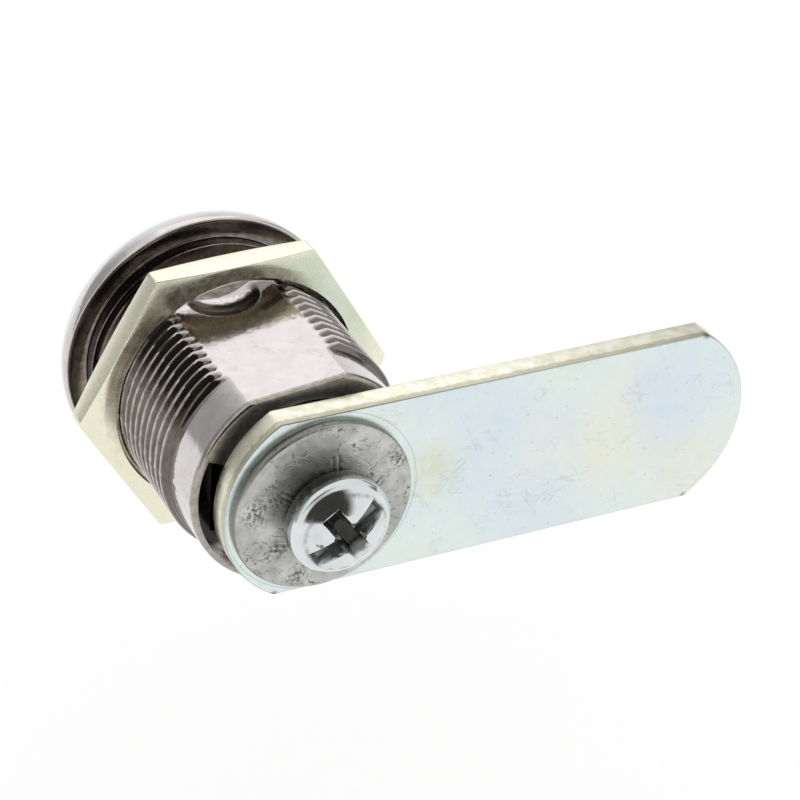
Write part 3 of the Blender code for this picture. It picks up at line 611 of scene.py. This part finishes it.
def dent_depth(x, y):
    """Depth of the paired tool marks on the washer's face."""
    depth = np.zeros_like(x)
    for start, end in WASHER_DENTS:
        start, end = np.array(start) * MM, np.array(end) * MM
        along = end - start
        length = np.linalg.norm(along)
        along /= length
        across = np.array([-along[1], along[0]])
        from_start = np.stack([x - start[0], y - start[1]], axis=-1)
        run = from_start @ along
        side = from_start @ across
        ends = smoothstep(run / (DENT_END * MM)) * smoothstep((length - run) / (DENT_END * MM))
        for offset, strength in ((-DENT_SPACING, 1.0), (DENT_SPACING, 0.8)):
            groove = np.exp(-((side - offset * MM) / (DENT_WIDTH * MM)) ** 2)
            depth = np.maximum(depth, DENT_DEPTH * MM * strength * ends * groove)
        ridge = np.exp(-(side / (DENT_RIDGE_WIDTH * MM)) ** 2)
        depth = depth - DENT_RIDGE_HEIGHT * MM * ends * ridge
    return depth


def make_washer():
    """The thick tumbled washer, with rounded edges, tool marks and a slightly uneven face."""
    edge = WASHER_EDGE
    face = [(WASHER_BORE + 0.15 * MM, WASHER_FRONT)]
    face += [(r, WASHER_FRONT) for r in np.arange(2.6, 6.6, 0.09) * MM]
    profile = [(WASHER_BORE, WASHER_FRONT - 0.15 * MM)] + face
    profile += arc_points((WASHER_RADIUS - edge, WASHER_FRONT - edge), edge, 90.0, 0.0, 8)
    profile += arc_points((WASHER_RADIUS - edge, CAM_FRONT + edge), edge, 0.0, -90.0, 5)
    profile += [(WASHER_BORE, CAM_FRONT)]
    grid = turned_grid(profile, WASHER_COLUMNS)
    facing = (grid[..., 2] > WASHER_FRONT - 0.3 * MM) & (np.hypot(grid[..., 0], grid[..., 1]) > 2.5 * MM)
    wobble = np.array([[noise.noise(Vector((x / MM * 0.9, y / MM * 0.9, 0.7))) for x, y, z in ring]
                       for ring in grid])
    sink = dent_depth(grid[..., 0], grid[..., 1]) + 0.02 * MM * (0.5 + 0.5 * wobble)
    grid[..., 2] -= np.where(facing, sink, 0.0)
    mesh = grid_mesh("lock_washer", grid + WASHER_OFFSET, close_rows=True)
    return new_piece("lock_washer", mesh, tumbled_steel(), "plug", "cam_washer")


def recess_cutters(top):
    """The screw's slot, the short cross bar over it and the cone where they meet."""
    cutters = []
    for turn, levels in ((0.0, SLOT_LEVELS), (math.pi / 2, CROSS_LEVELS)):
        rings = []
        for depth, reach, half in levels:
            corners = [(-reach, -half), (reach, -half), (reach, half), (-reach, half)]
            rings.append([turned((x * MM, y * MM, top + depth * MM), SCREW_RECESS_ANGLE + turn)
                          for x, y in corners])
        ends = [np.tile((0.0, 0.0, rings[row][0][2]), (4, 1)) for row in (0, -1)]
        cutters.append(grid_mesh("recess_bar", np.array([ends[0]] + rings + [ends[1]])))
    cone = [(0.0, top), (1.35 * MM, top + 0.2 * MM), (1.05 * MM, top - 1.6 * MM), (0.0, top - 2.4 * MM)]
    cutters.append(grid_mesh("recess_cone", turned_grid(cone, 24)))
    return cutters


def make_screw():
    """The pan-head screw with its slot and cross and, out of sight, its threaded shank."""
    head = SCREW_HEAD_RADIUS
    edge = SCREW_HEAD_EDGE
    crown = head - edge * 0.45
    ball = (crown ** 2 + SCREW_CROWN_RISE ** 2) / (2 * SCREW_CROWN_RISE)
    spanned = math.degrees(math.asin(crown / ball))
    profile = arc_points((0.0, SCREW_TOP - ball), ball, 90.0, 90.0 - spanned, 24)
    profile += arc_points((head - edge, SCREW_TOP - SCREW_CROWN_RISE - edge), edge, 48.0, 0.0, 8)
    profile += [(head, WASHER_FRONT + SCREW_HEAD_FOOT), (head - 0.08 * MM, WASHER_FRONT + 0.95 * MM),
                (head - 1.0 * MM, WASHER_FRONT + 0.02 * MM), (SCREW_RADIUS, WASHER_FRONT + 0.02 * MM)]
    z = WASHER_FRONT - 0.4 * MM
    while z > SCREW_TIP + SCREW_PITCH:
        profile += [(SCREW_RADIUS, z), (SCREW_RADIUS - SCREW_THREAD_DEPTH, z - SCREW_PITCH / 2)]
        z -= SCREW_PITCH
    profile += [(SCREW_RADIUS * 0.75, SCREW_TIP), (0.0, SCREW_TIP)]
    mesh = grid_mesh("lock_screw", turned_grid(profile, SCREW_COLUMNS))
    mesh = cut(mesh, recess_cutters(SCREW_TOP))
    mesh = beveled(mesh, RECESS_EDGE, RECESS_SHARP_ANGLE)
    return new_piece("lock_screw", mesh, bright_zinc(), "plug", "cam_screw")


class Nodes:
    """A node tree and short calls that add linked nodes to it."""

    def __init__(self, tree):
        self.tree = tree

    def add(self, kind, settings=None, **inputs):
        """Add a node with its settings and its inputs, each a value or a socket."""
        node = self.tree.nodes.new(kind)
        for name, value in (settings or {}).items():
            setattr(node, name, value)
        for name, value in inputs.items():
            self.feed(node.inputs[name.replace("_", " ")], value)
        return node

    def feed(self, socket, value):
        """Link a socket to another one, or set its value."""
        if isinstance(value, bpy.types.NodeSocket):
            self.tree.links.new(value, socket)
        else:
            socket.default_value = value

    def band(self, value, low, high, to_low=0.0, to_high=1.0, shape="LINEAR"):
        """Map value from low..high to to_low..to_high, held at the ends."""
        node = self.add("ShaderNodeMapRange", {"clamp": True, "interpolation_type": shape}, Value=value)
        for name, number in zip(("From Min", "From Max", "To Min", "To Max"), (low, high, to_low, to_high)):
            node.inputs[name].default_value = number
        return node.outputs[0]

    def math(self, operation, first, second=0.0):
        """One step of arithmetic on numbers or sockets."""
        node = self.add("ShaderNodeMath", {"operation": operation})
        self.feed(node.inputs[0], first)
        self.feed(node.inputs[1], second)
        return node.outputs[0]

    def toward(self, direction, side):
        """Cosine of the angle between a direction and a side."""
        node = self.add("ShaderNodeVectorMath", {"operation": "DOT_PRODUCT"})
        self.feed(node.inputs[0], direction)
        self.feed(node.inputs[1], Vector(side).normalized())
        return node.outputs["Value"]

    def join(self, kind, *values):
        """Add a node of shaders, such as a mix, with its sockets filled in order."""
        node = self.add(kind)
        for socket, value in zip(node.inputs, values):
            self.feed(socket, value)
        return node.outputs[0]


class Surface(Nodes):
    """A Principled metal and short calls for its colour, wear and relief."""

    def __init__(self, name, roughness):
        self.material = bpy.data.materials.new(name)
        self.material.use_nodes = True
        super().__init__(self.material.node_tree)
        self.shader = self.tree.nodes["Principled BSDF"]
        self.shader.inputs["Metallic"].default_value = 1.0
        self.shader.inputs["Roughness"].default_value = roughness
        self.place = self.tree.nodes.new("ShaderNodeTexCoord").outputs["Object"]

    def noise(self, size, detail=3.0, stretch=None, roughness=0.55):
        """Soft noise whose features are about size across."""
        vector = self.place
        if stretch:
            mapping = self.add("ShaderNodeMapping", Vector=vector, Scale=stretch)
            vector = mapping.outputs[0]
        node = self.add("ShaderNodeTexNoise", Vector=vector, Scale=1.0 / size, Detail=detail,
                        Roughness=roughness)
        return node.outputs["Fac"]

    def times(self, first, *others):
        """The product of masks and numbers."""
        for other in others:
            first = self.math("MULTIPLY", first, other)
        return first

    def mix(self, factor, first, second):
        """Mix two colours, each a socket or an (r, g, b)."""
        node = self.add("ShaderNodeMix", {"data_type": "RGBA"})
        self.feed(node.inputs[0], factor)
        for socket, color in ((node.inputs[6], first), (node.inputs[7], second)):
            self.feed(socket, color if isinstance(color, bpy.types.NodeSocket) else (*color, 1.0))
        return node.outputs[2]

    def tinted(self, color, *layers):
        """Lay tints over a colour, each given as its mask, strength and tint."""
        for mask, strength, tint in layers:
            color = self.mix(self.times(mask, strength), color, tint)
        return color

    def ball(self, center, radius, soft):
        """1 inside a ball about center, falling to 0 over soft."""
        node = self.add("ShaderNodeVectorMath", {"operation": "DISTANCE"})
        self.feed(node.inputs[0], self.place)
        node.inputs[1].default_value = center
        return self.band(node.outputs["Value"], radius - soft, radius + soft, 1.0, 0.0)

    def axis_distance(self):
        """Distance from the lock's axis."""
        flat = self.add("ShaderNodeVectorMath", {"operation": "MULTIPLY"})
        self.feed(flat.inputs[0], self.place)
        flat.inputs[1].default_value = (1.0, 0.0, 1.0)
        node = self.add("ShaderNodeVectorMath", {"operation": "LENGTH"})
        self.feed(node.inputs[0], flat.outputs[0])
        return node.outputs["Value"]

    def along(self, axis):
        """Place along one of the frame's axes, X, Y or Z."""
        return self.add("ShaderNodeSeparateXYZ", Vector=self.place).outputs[axis]

    def back(self):
        """Distance behind the plane of the head's rim."""
        return self.math("MULTIPLY", self.along("Y"), -1.0)

    def facing(self):
        """1 on the faces square to the axis, falling to 0 on those along it."""
        normal = self.tree.nodes.new("ShaderNodeTexCoord").outputs["Normal"]
        return self.math("ABSOLUTE", self.add("ShaderNodeSeparateXYZ", Vector=normal).outputs["Y"])

    def on_side(self):
        """1 where the surface faces away from the axis, 0 on the faces square to it."""
        return self.band(self.facing(), 0.5, 0.8, 1.0, 0.0)

    def between(self, value, low, high, soft):
        """1 where value lies from low to high, falling to 0 over soft on either side."""
        rise = self.band(value, low - soft, low)
        fall = self.band(value, high, high + soft, 1.0, 0.0)
        return self.math("MULTIPLY", rise, fall)

    def scratches(self, size, stretch, turn, width=0.02):
        """Thin wavy lines, 1 on the line, drawn out by stretch along axes turned by turn."""
        mapping = self.add("ShaderNodeMapping", {"vector_type": "TEXTURE"}, Vector=self.place,
                           Rotation=turn, Scale=stretch)
        node = self.add("ShaderNodeTexNoise", Vector=mapping.outputs[0], Scale=1.0 / size, Detail=2.0)
        off = self.math("ABSOLUTE", self.math("SUBTRACT", node.outputs["Fac"], 0.5))
        return self.band(off, 0.0, width, 1.0, 0.0)

    def bump(self, height, distance, normal=None):
        """Relief from a height, on top of an earlier relief if one is given."""
        node = self.add("ShaderNodeBump", Height=height, Strength=1.0, Distance=distance)
        if normal:
            self.feed(node.inputs["Normal"], normal)
        return node.outputs[0]

    def finish(self, color, roughness, normal):
        """Feed the shader and hand over the material."""
        for name, value in (("Base Color", color), ("Roughness", roughness), ("Normal", normal)):
            self.feed(self.shader.inputs[name], value)
        return self.material


def thread_painted_shade(look, reach, back, height):
    """Masks of the painted shade in the thread's grooves and on its upper left side."""
    on_thread = look.between(back, PILOT_LENGTH, THREAD_END, 0.2 * MM)
    # Painted shade in the thread's roots
    groove = look.times(
        look.band(reach, THREAD_CREST_RADIUS - 0.12 * MM, THREAD_CREST_RADIUS - 0.02 * MM, 1.0, 0.0),
        on_thread,
        look.band(height, FLAT_DISTANCE - 0.16 * MM, FLAT_DISTANCE - 0.04 * MM, 1.0, 0.0),
        look.band(look.math("ABSOLUTE", look.along("X")), 3.0 * MM, 3.3 * MM))
    # Painted shade on the thread's upper left side, darker in streaks
    thread_left_shade = look.times(
        look.band(look.along("X"), -7.0 * MM, -4.5 * MM, 1.0, 0.0),
        look.band(look.along("Z"), -3.5 * MM, -0.5 * MM),
        look.band(reach, THREAD_CREST_RADIUS - 0.05 * MM, THREAD_CREST_RADIUS, 1.0, 0.5),
        on_thread,
        look.band(look.noise(0.5 * MM, 3.0, (0.6, 1.6, 0.6)), 0.38, 0.62, 1.0, 0.35))
    return groove, thread_left_shade


def flat_painted_reflections(look, back, height):
    """Masks of the painted dark reflections of the nut: on the flats behind it, in the dish and in a patch
    beside it.
    """
    ragged = look.band(look.noise(0.8 * MM, 5.0), 0.3, 0.7, -0.5 * MM, 0.5 * MM)
    ragged_back, ragged_height = look.math("ADD", back, ragged), look.math("ADD", height, ragged)
    on_flat = look.band(height, FLAT_DISTANCE - 0.06 * MM, FLAT_DISTANCE - 0.02 * MM)
    # Painted reflection of the nut on the flats just behind it
    nut_reflection = look.times(
        look.between(ragged_back, NUT_REAR - 0.2 * MM, NUT_REAR + 3.6 * MM, 0.5 * MM), on_flat)
    # Painted dark reflection of the nut inside the dish
    dish_reflection = look.times(
        look.ball((0.0, -DISH_PLACE, FLAT_DISTANCE), DISH_RADIUS + 0.1 * MM, 0.05 * MM),
        look.math("SUBTRACT", 1.0, on_flat),
        look.band(ragged_back, DISH_PLACE - 0.3 * MM, DISH_PLACE + 0.1 * MM))
    reflection_x, reflection_back = FLAT_BORE_REFLECTION
    # Painted dark reflection of the nut's bore beside the dish
    bore_reflection = look.times(
        look.ball((reflection_x, -reflection_back, FLAT_DISTANCE), 1.3 * MM, 0.4 * MM),
        look.band(ragged_height, FLAT_DISTANCE - 0.6 * MM, FLAT_DISTANCE - 0.4 * MM))
    return nut_reflection, dish_reflection, bore_reflection


def hollow_painted_shade(look, reach, back, height, streaks):
    """Masks of the head's recess, of the collar's rear lip and of the stop pocket, where shade is painted.
    """
    rim_inner = HEAD_RADIUS - RIM_WIDTH
    # The head's recess, where shade is painted and the plate is made duller
    in_recess = look.times(
        look.between(back, -0.9 * MM, NUT_FRONT - 0.2 * MM, 0.1 * MM),
        look.band(reach, rim_inner - 0.03 * MM, rim_inner, 1.0, 0.0))
    # Painted shade on the collar's rear lip, between the body and the cam
    rear_lip_shade = look.times(
        look.band(back, BODY_LENGTH - 0.55 * MM, BODY_LENGTH - 0.45 * MM),
        look.band(streaks, 0.3, 0.6, 1.0, 0.6))
    pocket_radius = COLLAR_RADIUS - POCKET_RIM
    pocket_limit = FLAT_DISTANCE - POCKET_FLAT_WALL
    # Painted shade deep in the stop pocket
    pocket_shade = look.times(
        look.between(back, BODY_LENGTH - 1.7 * MM, BODY_LENGTH - 0.3 * MM, 0.1 * MM),
        look.band(reach, pocket_radius, pocket_radius + 0.06 * MM, 1.0, 0.0),
        look.band(height, pocket_limit + 0.05 * MM, pocket_limit + 0.15 * MM, 1.0, 0.0),
        look.band(look.along("Z"), -5.2 * MM, -4.0 * MM))
    return in_recess, rear_lip_shade, pocket_shade


def nickel():
    """Bright nickel plate over a die casting, dull in its hollows, with painted shade in its grooves and
    hollows, painted dark reflections of the nut on its flats and a painted highlight on its dome.
    """
    look = Surface("bright_nickel", 0.12)
    reach, back = look.axis_distance(), look.back()
    height = look.math("ABSOLUTE", look.along("Z"))
    grain = look.noise(0.16 * MM, 2.0)
    streaks = look.noise(0.5 * MM, 3.0)
    cloud = look.noise(1.2 * MM, 5.0)
    color = look.mix(look.band(cloud, 0.35, 0.65), (0.62, 0.58, 0.575), (0.67, 0.64, 0.64))
    lengthwise = look.scratches(0.9 * MM, (1.0, 6.0, 1.0), (0.2, 0.5, 0.6), 0.02)
    crosswise = look.scratches(0.7 * MM, (5.0, 1.0, 1.0), (0.0, 0.3, 0.9), 0.025)
    patchy = look.band(look.noise(1.5 * MM, 3.0), 0.5, 0.6)
    scratched = look.times(look.math("MAXIMUM", lengthwise, crosswise), patchy)
    # Painted highlight: the front of the head's dome is painted lighter
    dome_highlight = look.band(back, -1.0 * MM, -0.9 * MM, 1.0, 0.0)
    # Painted shade in the thread's grooves and on its left side
    groove, thread_left_shade = thread_painted_shade(look, reach, back, height)
    # Painted dark reflections of the nut on the flats and in the dish
    nut_reflection, dish_reflection, bore_reflection = flat_painted_reflections(look, back, height)
    # Painted shade in the head's recess, on the rear lip and in the stop pocket
    in_recess, rear_lip_shade, pocket_shade = hollow_painted_shade(look, reach, back, height, streaks)
    # Painted shade in the head's recess, uneven in streaks
    head_recess_shade = look.times(in_recess, look.band(streaks, 0.35, 0.65, 1.0, 0.75))
    # Painted light below, except the scratches, which are real wear: highlight on the dome, reflections of
    # the nut, shade in the thread, recess, rear lip and pocket
    color = look.tinted(
        color,
        (scratched, 0.3, (0.34, 0.31, 0.29)),
        (dome_highlight, 1.0, (0.71, 0.70, 0.70)),
        (nut_reflection, 0.85, (0.34, 0.28, 0.24)),
        (dish_reflection, 0.85, (0.22, 0.20, 0.14)),
        (bore_reflection, 0.85, (0.10, 0.08, 0.065)),
        (thread_left_shade, 0.85, (0.17, 0.14, 0.12)),
        (groove, 0.88, (0.13, 0.11, 0.09)),
        (head_recess_shade, 0.9, (0.12, 0.10, 0.085)),
        (rear_lip_shade, 0.8, (0.22, 0.20, 0.13)),
        (pocket_shade, 0.97, (0.02, 0.02, 0.018)))
    rear_face = look.band(back, BODY_LENGTH - 0.06 * MM, BODY_LENGTH - 0.02 * MM)
    rough = look.band(grain, 0.3, 0.7, 0.08, 0.17)
    rough = look.math("ADD", rough, look.times(in_recess, 0.06))
    rough = look.math("ADD", rough, look.times(rear_face, 0.25))
    normal = look.bump(grain, 0.004 * MM)
    normal = look.bump(look.noise(0.7 * MM, 2.0), 0.012 * MM, normal)
    return look.finish(color, rough, normal)


def yellow_zinc():
    """Pale yellow-green zinc on the nut, turned on its faces."""
    look = Surface("yellow_zinc_nut", 0.3)
    cloud = look.noise(5.0 * MM, 2.0)
    color = look.mix(look.band(cloud, 0.35, 0.65), (0.86, 0.84, 0.66), (0.92, 0.90, 0.73))
    speck = look.band(look.noise(0.25 * MM, 3.0), 0.68, 0.74)
    color = look.tinted(color, (speck, 0.25, (0.40, 0.38, 0.26)))
    rough = look.band(look.noise(0.5 * MM, 3.0), 0.3, 0.7, 0.20, 0.32)
    rings = look.add("ShaderNodeTexNoise", {"noise_dimensions": "1D"}, W=look.axis_distance(),
                     Scale=1.0 / (0.12 * MM), Detail=2.0).outputs["Fac"]
    normal = look.bump(rings, 0.0016 * MM)
    normal = look.bump(look.noise(0.5 * MM, 2.0), 0.001 * MM, normal)
    return look.finish(color, rough, normal)


def cam_corner(along, across):
    """Where a corner of the cam's rear face is in the frame, from its place on the bar."""
    return tuple(laid_down(turned((along, across, CAM_FRONT), CAM_ANGLE)))


def cam_zinc():
    """Clear zinc on the steel cam: pale blue with yellow patches, and punched yellowish sides."""
    look = Surface("blue_zinc_cam", 0.32)
    cloud = look.noise(7.0 * MM, 2.0)
    color = look.mix(look.band(cloud, 0.38, 0.62), (0.73, 0.82, 0.84), (0.78, 0.86, 0.82))
    for x, z, size, tint in CAM_PATCHES:
        patch = look.ball((x * MM, -CAM_FRONT, z * MM), size * MM, size * 0.9 * MM)
        uneven = look.band(look.noise(2.0 * MM, 4.0), 0.3, 0.6, 0.35, 1.0)
        color = look.mix(look.times(patch, uneven), color, tint)
    lines = 0.0
    for turn, size in ((0.4, 0.9), (-0.7, 1.1), (1.2, 1.3)):
        mark = look.scratches(size * MM, (7.0, 1.0, 1.0), (0.0, turn, 0.0), 0.016)
        lines = look.math("MAXIMUM", mark, lines)
    lines = look.times(lines, look.band(look.noise(2.6 * MM, 3.0), 0.52, 0.64))
    specks = look.band(look.noise(0.35 * MM, 2.0), 0.70, 0.74)
    off_scribe = look.math("SUBTRACT", look.axis_distance(), CAM_SCRIBE_RADIUS * MM)
    scribe = look.band(look.math("ABSOLUTE", off_scribe), 0.02 * MM, 0.07 * MM, 1.0, 0.0)
    color = look.tinted(
        color,
        (lines, 0.32, (0.42, 0.46, 0.44)),
        (specks, 0.5, (0.45, 0.47, 0.44)),
        (scribe, 0.5, (0.42, 0.46, 0.44)))
    side = look.on_side()
    mottle = look.band(look.noise(0.9 * MM, 3.0), 0.4, 0.6)
    color = look.mix(side, color, look.mix(mottle, (0.88, 0.87, 0.75), (0.75, 0.75, 0.59)))
    broken_edge = look.between(look.facing(), 0.45, 0.90, 0.08)
    ragged = look.band(look.noise(0.6 * MM, 3.0), 0.3, 0.7, -0.12 * MM, 0.12 * MM)
    ragged_back = look.math("ADD", look.back(), ragged)
    torn = look.times(look.band(ragged_back, CAM_FRONT - 0.60 * MM, CAM_FRONT - 0.45 * MM), side)
    color = look.tinted(
        color,
        (broken_edge, 0.6, (0.34, 0.36, 0.32)),
        (torn, 0.6, (0.40, 0.38, 0.25)))
    corner_x = CAM_REACH - CAM_END_RISE
    heel_x = CAM_END_RISE - CAM_HEEL
    half = CAM_WIDTH / 2
    for along, across in ((corner_x, half), (corner_x, -half), (heel_x, -half)):
        nib = look.ball(cam_corner(along, across), 0.3 * MM, 0.15 * MM)
        color = look.tinted(color, (nib, 0.8, (0.12, 0.12, 0.09)))
    rough = look.band(look.noise(0.8 * MM, 3.0), 0.3, 0.7, 0.26, 0.38)
    height = look.math("SUBTRACT", look.noise(0.9 * MM, 3.0), look.times(lines, 0.6))
    normal = look.bump(height, 0.005 * MM)
    return look.finish(color, rough, normal)


def tumbled_steel():
    """Dull tumbled washer: mottled grey, dark pits and scuffs, and painted shade round its rim."""
    look = Surface("tumbled_steel_washer", 0.42)
    cloud = look.noise(1.6 * MM, 4.0)
    color = look.mix(look.band(cloud, 0.35, 0.65), (0.42, 0.42, 0.40), (0.62, 0.62, 0.60))
    pits = look.times(
        look.band(look.noise(0.42 * MM, 5.0, roughness=0.7), 0.57, 0.64),
        look.band(look.noise(2.0 * MM, 3.0), 0.46, 0.56))
    scuffs = look.times(
        look.scratches(0.8 * MM, (4.0, 1.0, 1.0), (0.0, 0.6, 0.0), 0.020),
        look.band(look.noise(1.5 * MM, 2.0), 0.50, 0.58),
        0.7)
    marks = look.math("MAXIMUM", pits, scuffs)
    fine = look.band(look.noise(0.3 * MM, 4.0, roughness=0.7), 0.50, 0.60)
    for (x, y), size in WASHER_SCUFFS:
        near = look.ball((x * MM, -WASHER_FRONT, y * MM), size * MM, size * 0.6 * MM)
        marks = look.math("MAXIMUM", marks, look.times(near, fine))
    # The pits and scuffs are real marks; the washer's side is painted dark olive as painted shade
    color = look.tinted(
        color,
        (marks, 0.85, (0.10, 0.10, 0.09)),
        (look.on_side(), 0.8, (0.18, 0.19, 0.14)))
    rough = look.band(look.noise(0.6 * MM, 3.0), 0.3, 0.7, 0.32, 0.48)
    height = look.math("SUBTRACT", look.noise(0.7 * MM, 4.0), look.times(marks, 0.8))
    normal = look.bump(height, 0.03 * MM)
    return look.finish(color, rough, normal)


def bright_zinc():
    """Bright zinc on the screw, nearly a mirror, with painted shade in its recess and on its foot."""
    look = Surface("bright_zinc_screw", 0.12)
    cloud = look.noise(1.5 * MM, 2.0)
    color = look.mix(look.band(cloud, 0.35, 0.65), (0.66, 0.70, 0.71), (0.74, 0.77, 0.78))
    uneven = look.band(look.noise(0.5 * MM, 3.0), 0.3, 0.7, -0.15 * MM, 0.15 * MM)
    depth = look.math("ADD", look.math("SUBTRACT", SCREW_TOP, look.back()), uneven)
    inside = look.band(look.axis_distance(), 3.1 * MM, 3.3 * MM, 1.0, 0.0)
    # Painted shade in the recess, darkest at its bottom, and on the head's foot; the recess is also made
    # duller
    slot_shade = look.times(look.band(depth, 0.85 * MM, 1.15 * MM), inside)
    deep_slot_shade = look.times(look.band(depth, 1.5 * MM, 1.9 * MM), inside)
    foot_shade = look.times(look.band(depth, 2.1 * MM, 2.4 * MM), look.on_side())
    nicks = 0.0
    for x, z in SCREW_NICKS:
        nick = look.ball((x * MM, NICK_DEPTH * MM - SCREW_TOP, z * MM), 0.17 * MM, 0.05 * MM)
        nicks = look.math("MAXIMUM", nick, nicks)
    # Painted shade in the recess and on the foot; the nicks are real marks
    color = look.tinted(
        color,
        (slot_shade, 0.9, (0.22, 0.22, 0.21)),
        (deep_slot_shade, 0.94, (0.04, 0.038, 0.033)),
        (foot_shade, 0.9, (0.13, 0.13, 0.12)),
        (nicks, 0.85, (0.12, 0.12, 0.11)))
    rough = look.band(look.noise(0.3 * MM, 3.0), 0.3, 0.7, 0.08, 0.16)
    rough = look.math("ADD", rough, look.times(slot_shade, 0.2))
    normal = look.bump(look.noise(0.25 * MM, 2.0), 0.003 * MM)
    return look.finish(color, rough, normal)


def plain_metal(name, dark, light, low_rough, high_rough, size):
    """A metal of two near tones with a soft uneven finish, for the pieces inside."""
    look = Surface(name, low_rough)
    color = look.mix(look.band(look.noise(size, 3.0), 0.35, 0.65), dark, light)
    rough = look.band(look.noise(size / 4, 3.0), 0.3, 0.7, low_rough, high_rough)
    normal = look.bump(look.noise(size / 6, 3.0), 0.006 * MM)
    return look.finish(color, rough, normal)


def dress_inner_nodes():
    """Give the pieces that keep their own shape a finish of their own."""
    brass = plain_metal("brass_wafer", (0.70, 0.54, 0.26), (0.80, 0.65, 0.36), 0.25, 0.4, 1.5 * MM)
    spring = plain_metal("spring_wire", (0.50, 0.50, 0.52), (0.60, 0.60, 0.62), 0.25, 0.35, 0.8 * MM)
    plug = plain_metal("plug_nickel_face", (0.62, 0.60, 0.56), (0.72, 0.70, 0.67), 0.16, 0.26, 2.0 * MM)
    plate = plain_metal("stop_plate_steel", (0.34, 0.33, 0.30), (0.46, 0.45, 0.42), 0.38, 0.5, 1.2 * MM)
    looks = {"plug": plug, "stop_plate": plate}
    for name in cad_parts:
        if name.startswith("wafer_spring"):
            looks[name] = spring
        elif name.startswith("wafer"):
            looks[name] = brass
    for name, material in looks.items():
        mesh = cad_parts[name].data
        mesh.materials.clear()
        mesh.materials.append(material)


def make_world():
    """White round the object, with the dark room behind the camera in its reflections."""
    world = bpy.data.worlds.new("studio")
    bpy.context.scene.world = world
    world.use_nodes = True
    nodes = Nodes(world.node_tree)
    nodes.tree.nodes.clear()
    path = nodes.add("ShaderNodeLightPath").outputs
    direction = nodes.add("ShaderNodeTexCoord").outputs["Generated"]
    ramp = nodes.add("ShaderNodeValToRGB", Fac=nodes.toward(direction, DARK_SIDE))
    for element, (position, color) in zip(ramp.color_ramp.elements, ROOM_TONES):
        element.position = position
        element.color = color
    fades = [nodes.band(nodes.toward(direction, side), near, far, 1.0, least, "SMOOTHSTEP")
             for side, near, far, least in SIDE_FADES]
    mirrored = nodes.join("ShaderNodeBackground", ramp.outputs[0], nodes.math("MULTIPLY", *fades))
    ambient = nodes.join("ShaderNodeBackground", AMBIENT_COLOR, AMBIENT_STRENGTH)
    white = nodes.join("ShaderNodeBackground", WHITE, 1.0)
    through = nodes.math("MAXIMUM", path["Is Glossy Ray"], path["Is Transmission Ray"])
    round_object = nodes.join("ShaderNodeMixShader", through, ambient, mirrored)
    seen = nodes.join("ShaderNodeMixShader", path["Is Camera Ray"], round_object, white)
    nodes.add("ShaderNodeOutputWorld", Surface=seen)


def make_floor(low_z):
    """A plain white floor under the lock that keeps a faint shadow."""
    mesh = bpy.data.meshes.new("floor")
    corners = [(x * FLOOR_HALF, y * FLOOR_HALF, low_z) for x, y in ((-1, -1), (1, -1), (1, 1), (-1, 1))]
    mesh.from_pydata(corners, [], [(0, 1, 2, 3)])
    floor = placed("floor", mesh)
    material = bpy.data.materials.new("floor_white")
    material.use_nodes = True
    nodes = Nodes(material.node_tree)
    nodes.tree.nodes.clear()
    path = nodes.add("ShaderNodeLightPath").outputs
    plain = nodes.join("ShaderNodeBsdfDiffuse", FLOOR_COLOR)
    lift = nodes.join("ShaderNodeEmission", WHITE, FLOOR_LIFT)
    bright = nodes.join("ShaderNodeAddShader", lift, nodes.join("ShaderNodeBsdfDiffuse", FLOOR_VEIL))
    seen = nodes.math("MAXIMUM", path["Is Camera Ray"], path["Is Glossy Ray"])
    seen = nodes.math("MAXIMUM", seen, path["Is Transmission Ray"])
    surface = nodes.join("ShaderNodeMixShader", seen, plain, bright)
    nodes.add("ShaderNodeOutputMaterial", Surface=surface)
    mesh.materials.append(material)


def make_softbox():
    """The one lamp, above and behind the lock."""
    lamp = bpy.data.lights.new("back_softbox", "AREA")
    lamp.shape = "RECTANGLE"
    lamp.size, lamp.size_y = SOFTBOX_SIZE
    lamp.energy = SOFTBOX_ENERGY
    item = placed("back_softbox", lamp)
    item.location = SOFTBOX_PLACE
    aim = Vector(SOFTBOX_TARGET) - Vector(SOFTBOX_PLACE)
    item.rotation_euler = aim.to_track_quat("-Z", "Y").to_euler()


def make_camera():
    """The camera, where the photograph was taken from."""
    data = bpy.data.cameras.new("camera")
    data.lens = CAMERA_LENS
    data.sensor_width = SENSOR_WIDTH
    data.clip_start = 0.01
    camera = placed("camera", data)
    camera.location = CAMERA_PLACE
    camera.rotation_euler = [math.radians(angle) for angle in CAMERA_TURN]
    bpy.context.scene.camera = camera


make_camera()
make_housing()
make_nut()
make_cam()
make_washer()
make_screw()
dress_inner_nodes()
make_world()
make_floor(-CAM_REACH - FLOOR_GAP)
make_softbox()
bpy.context.scene.view_settings.view_transform = "Standard"
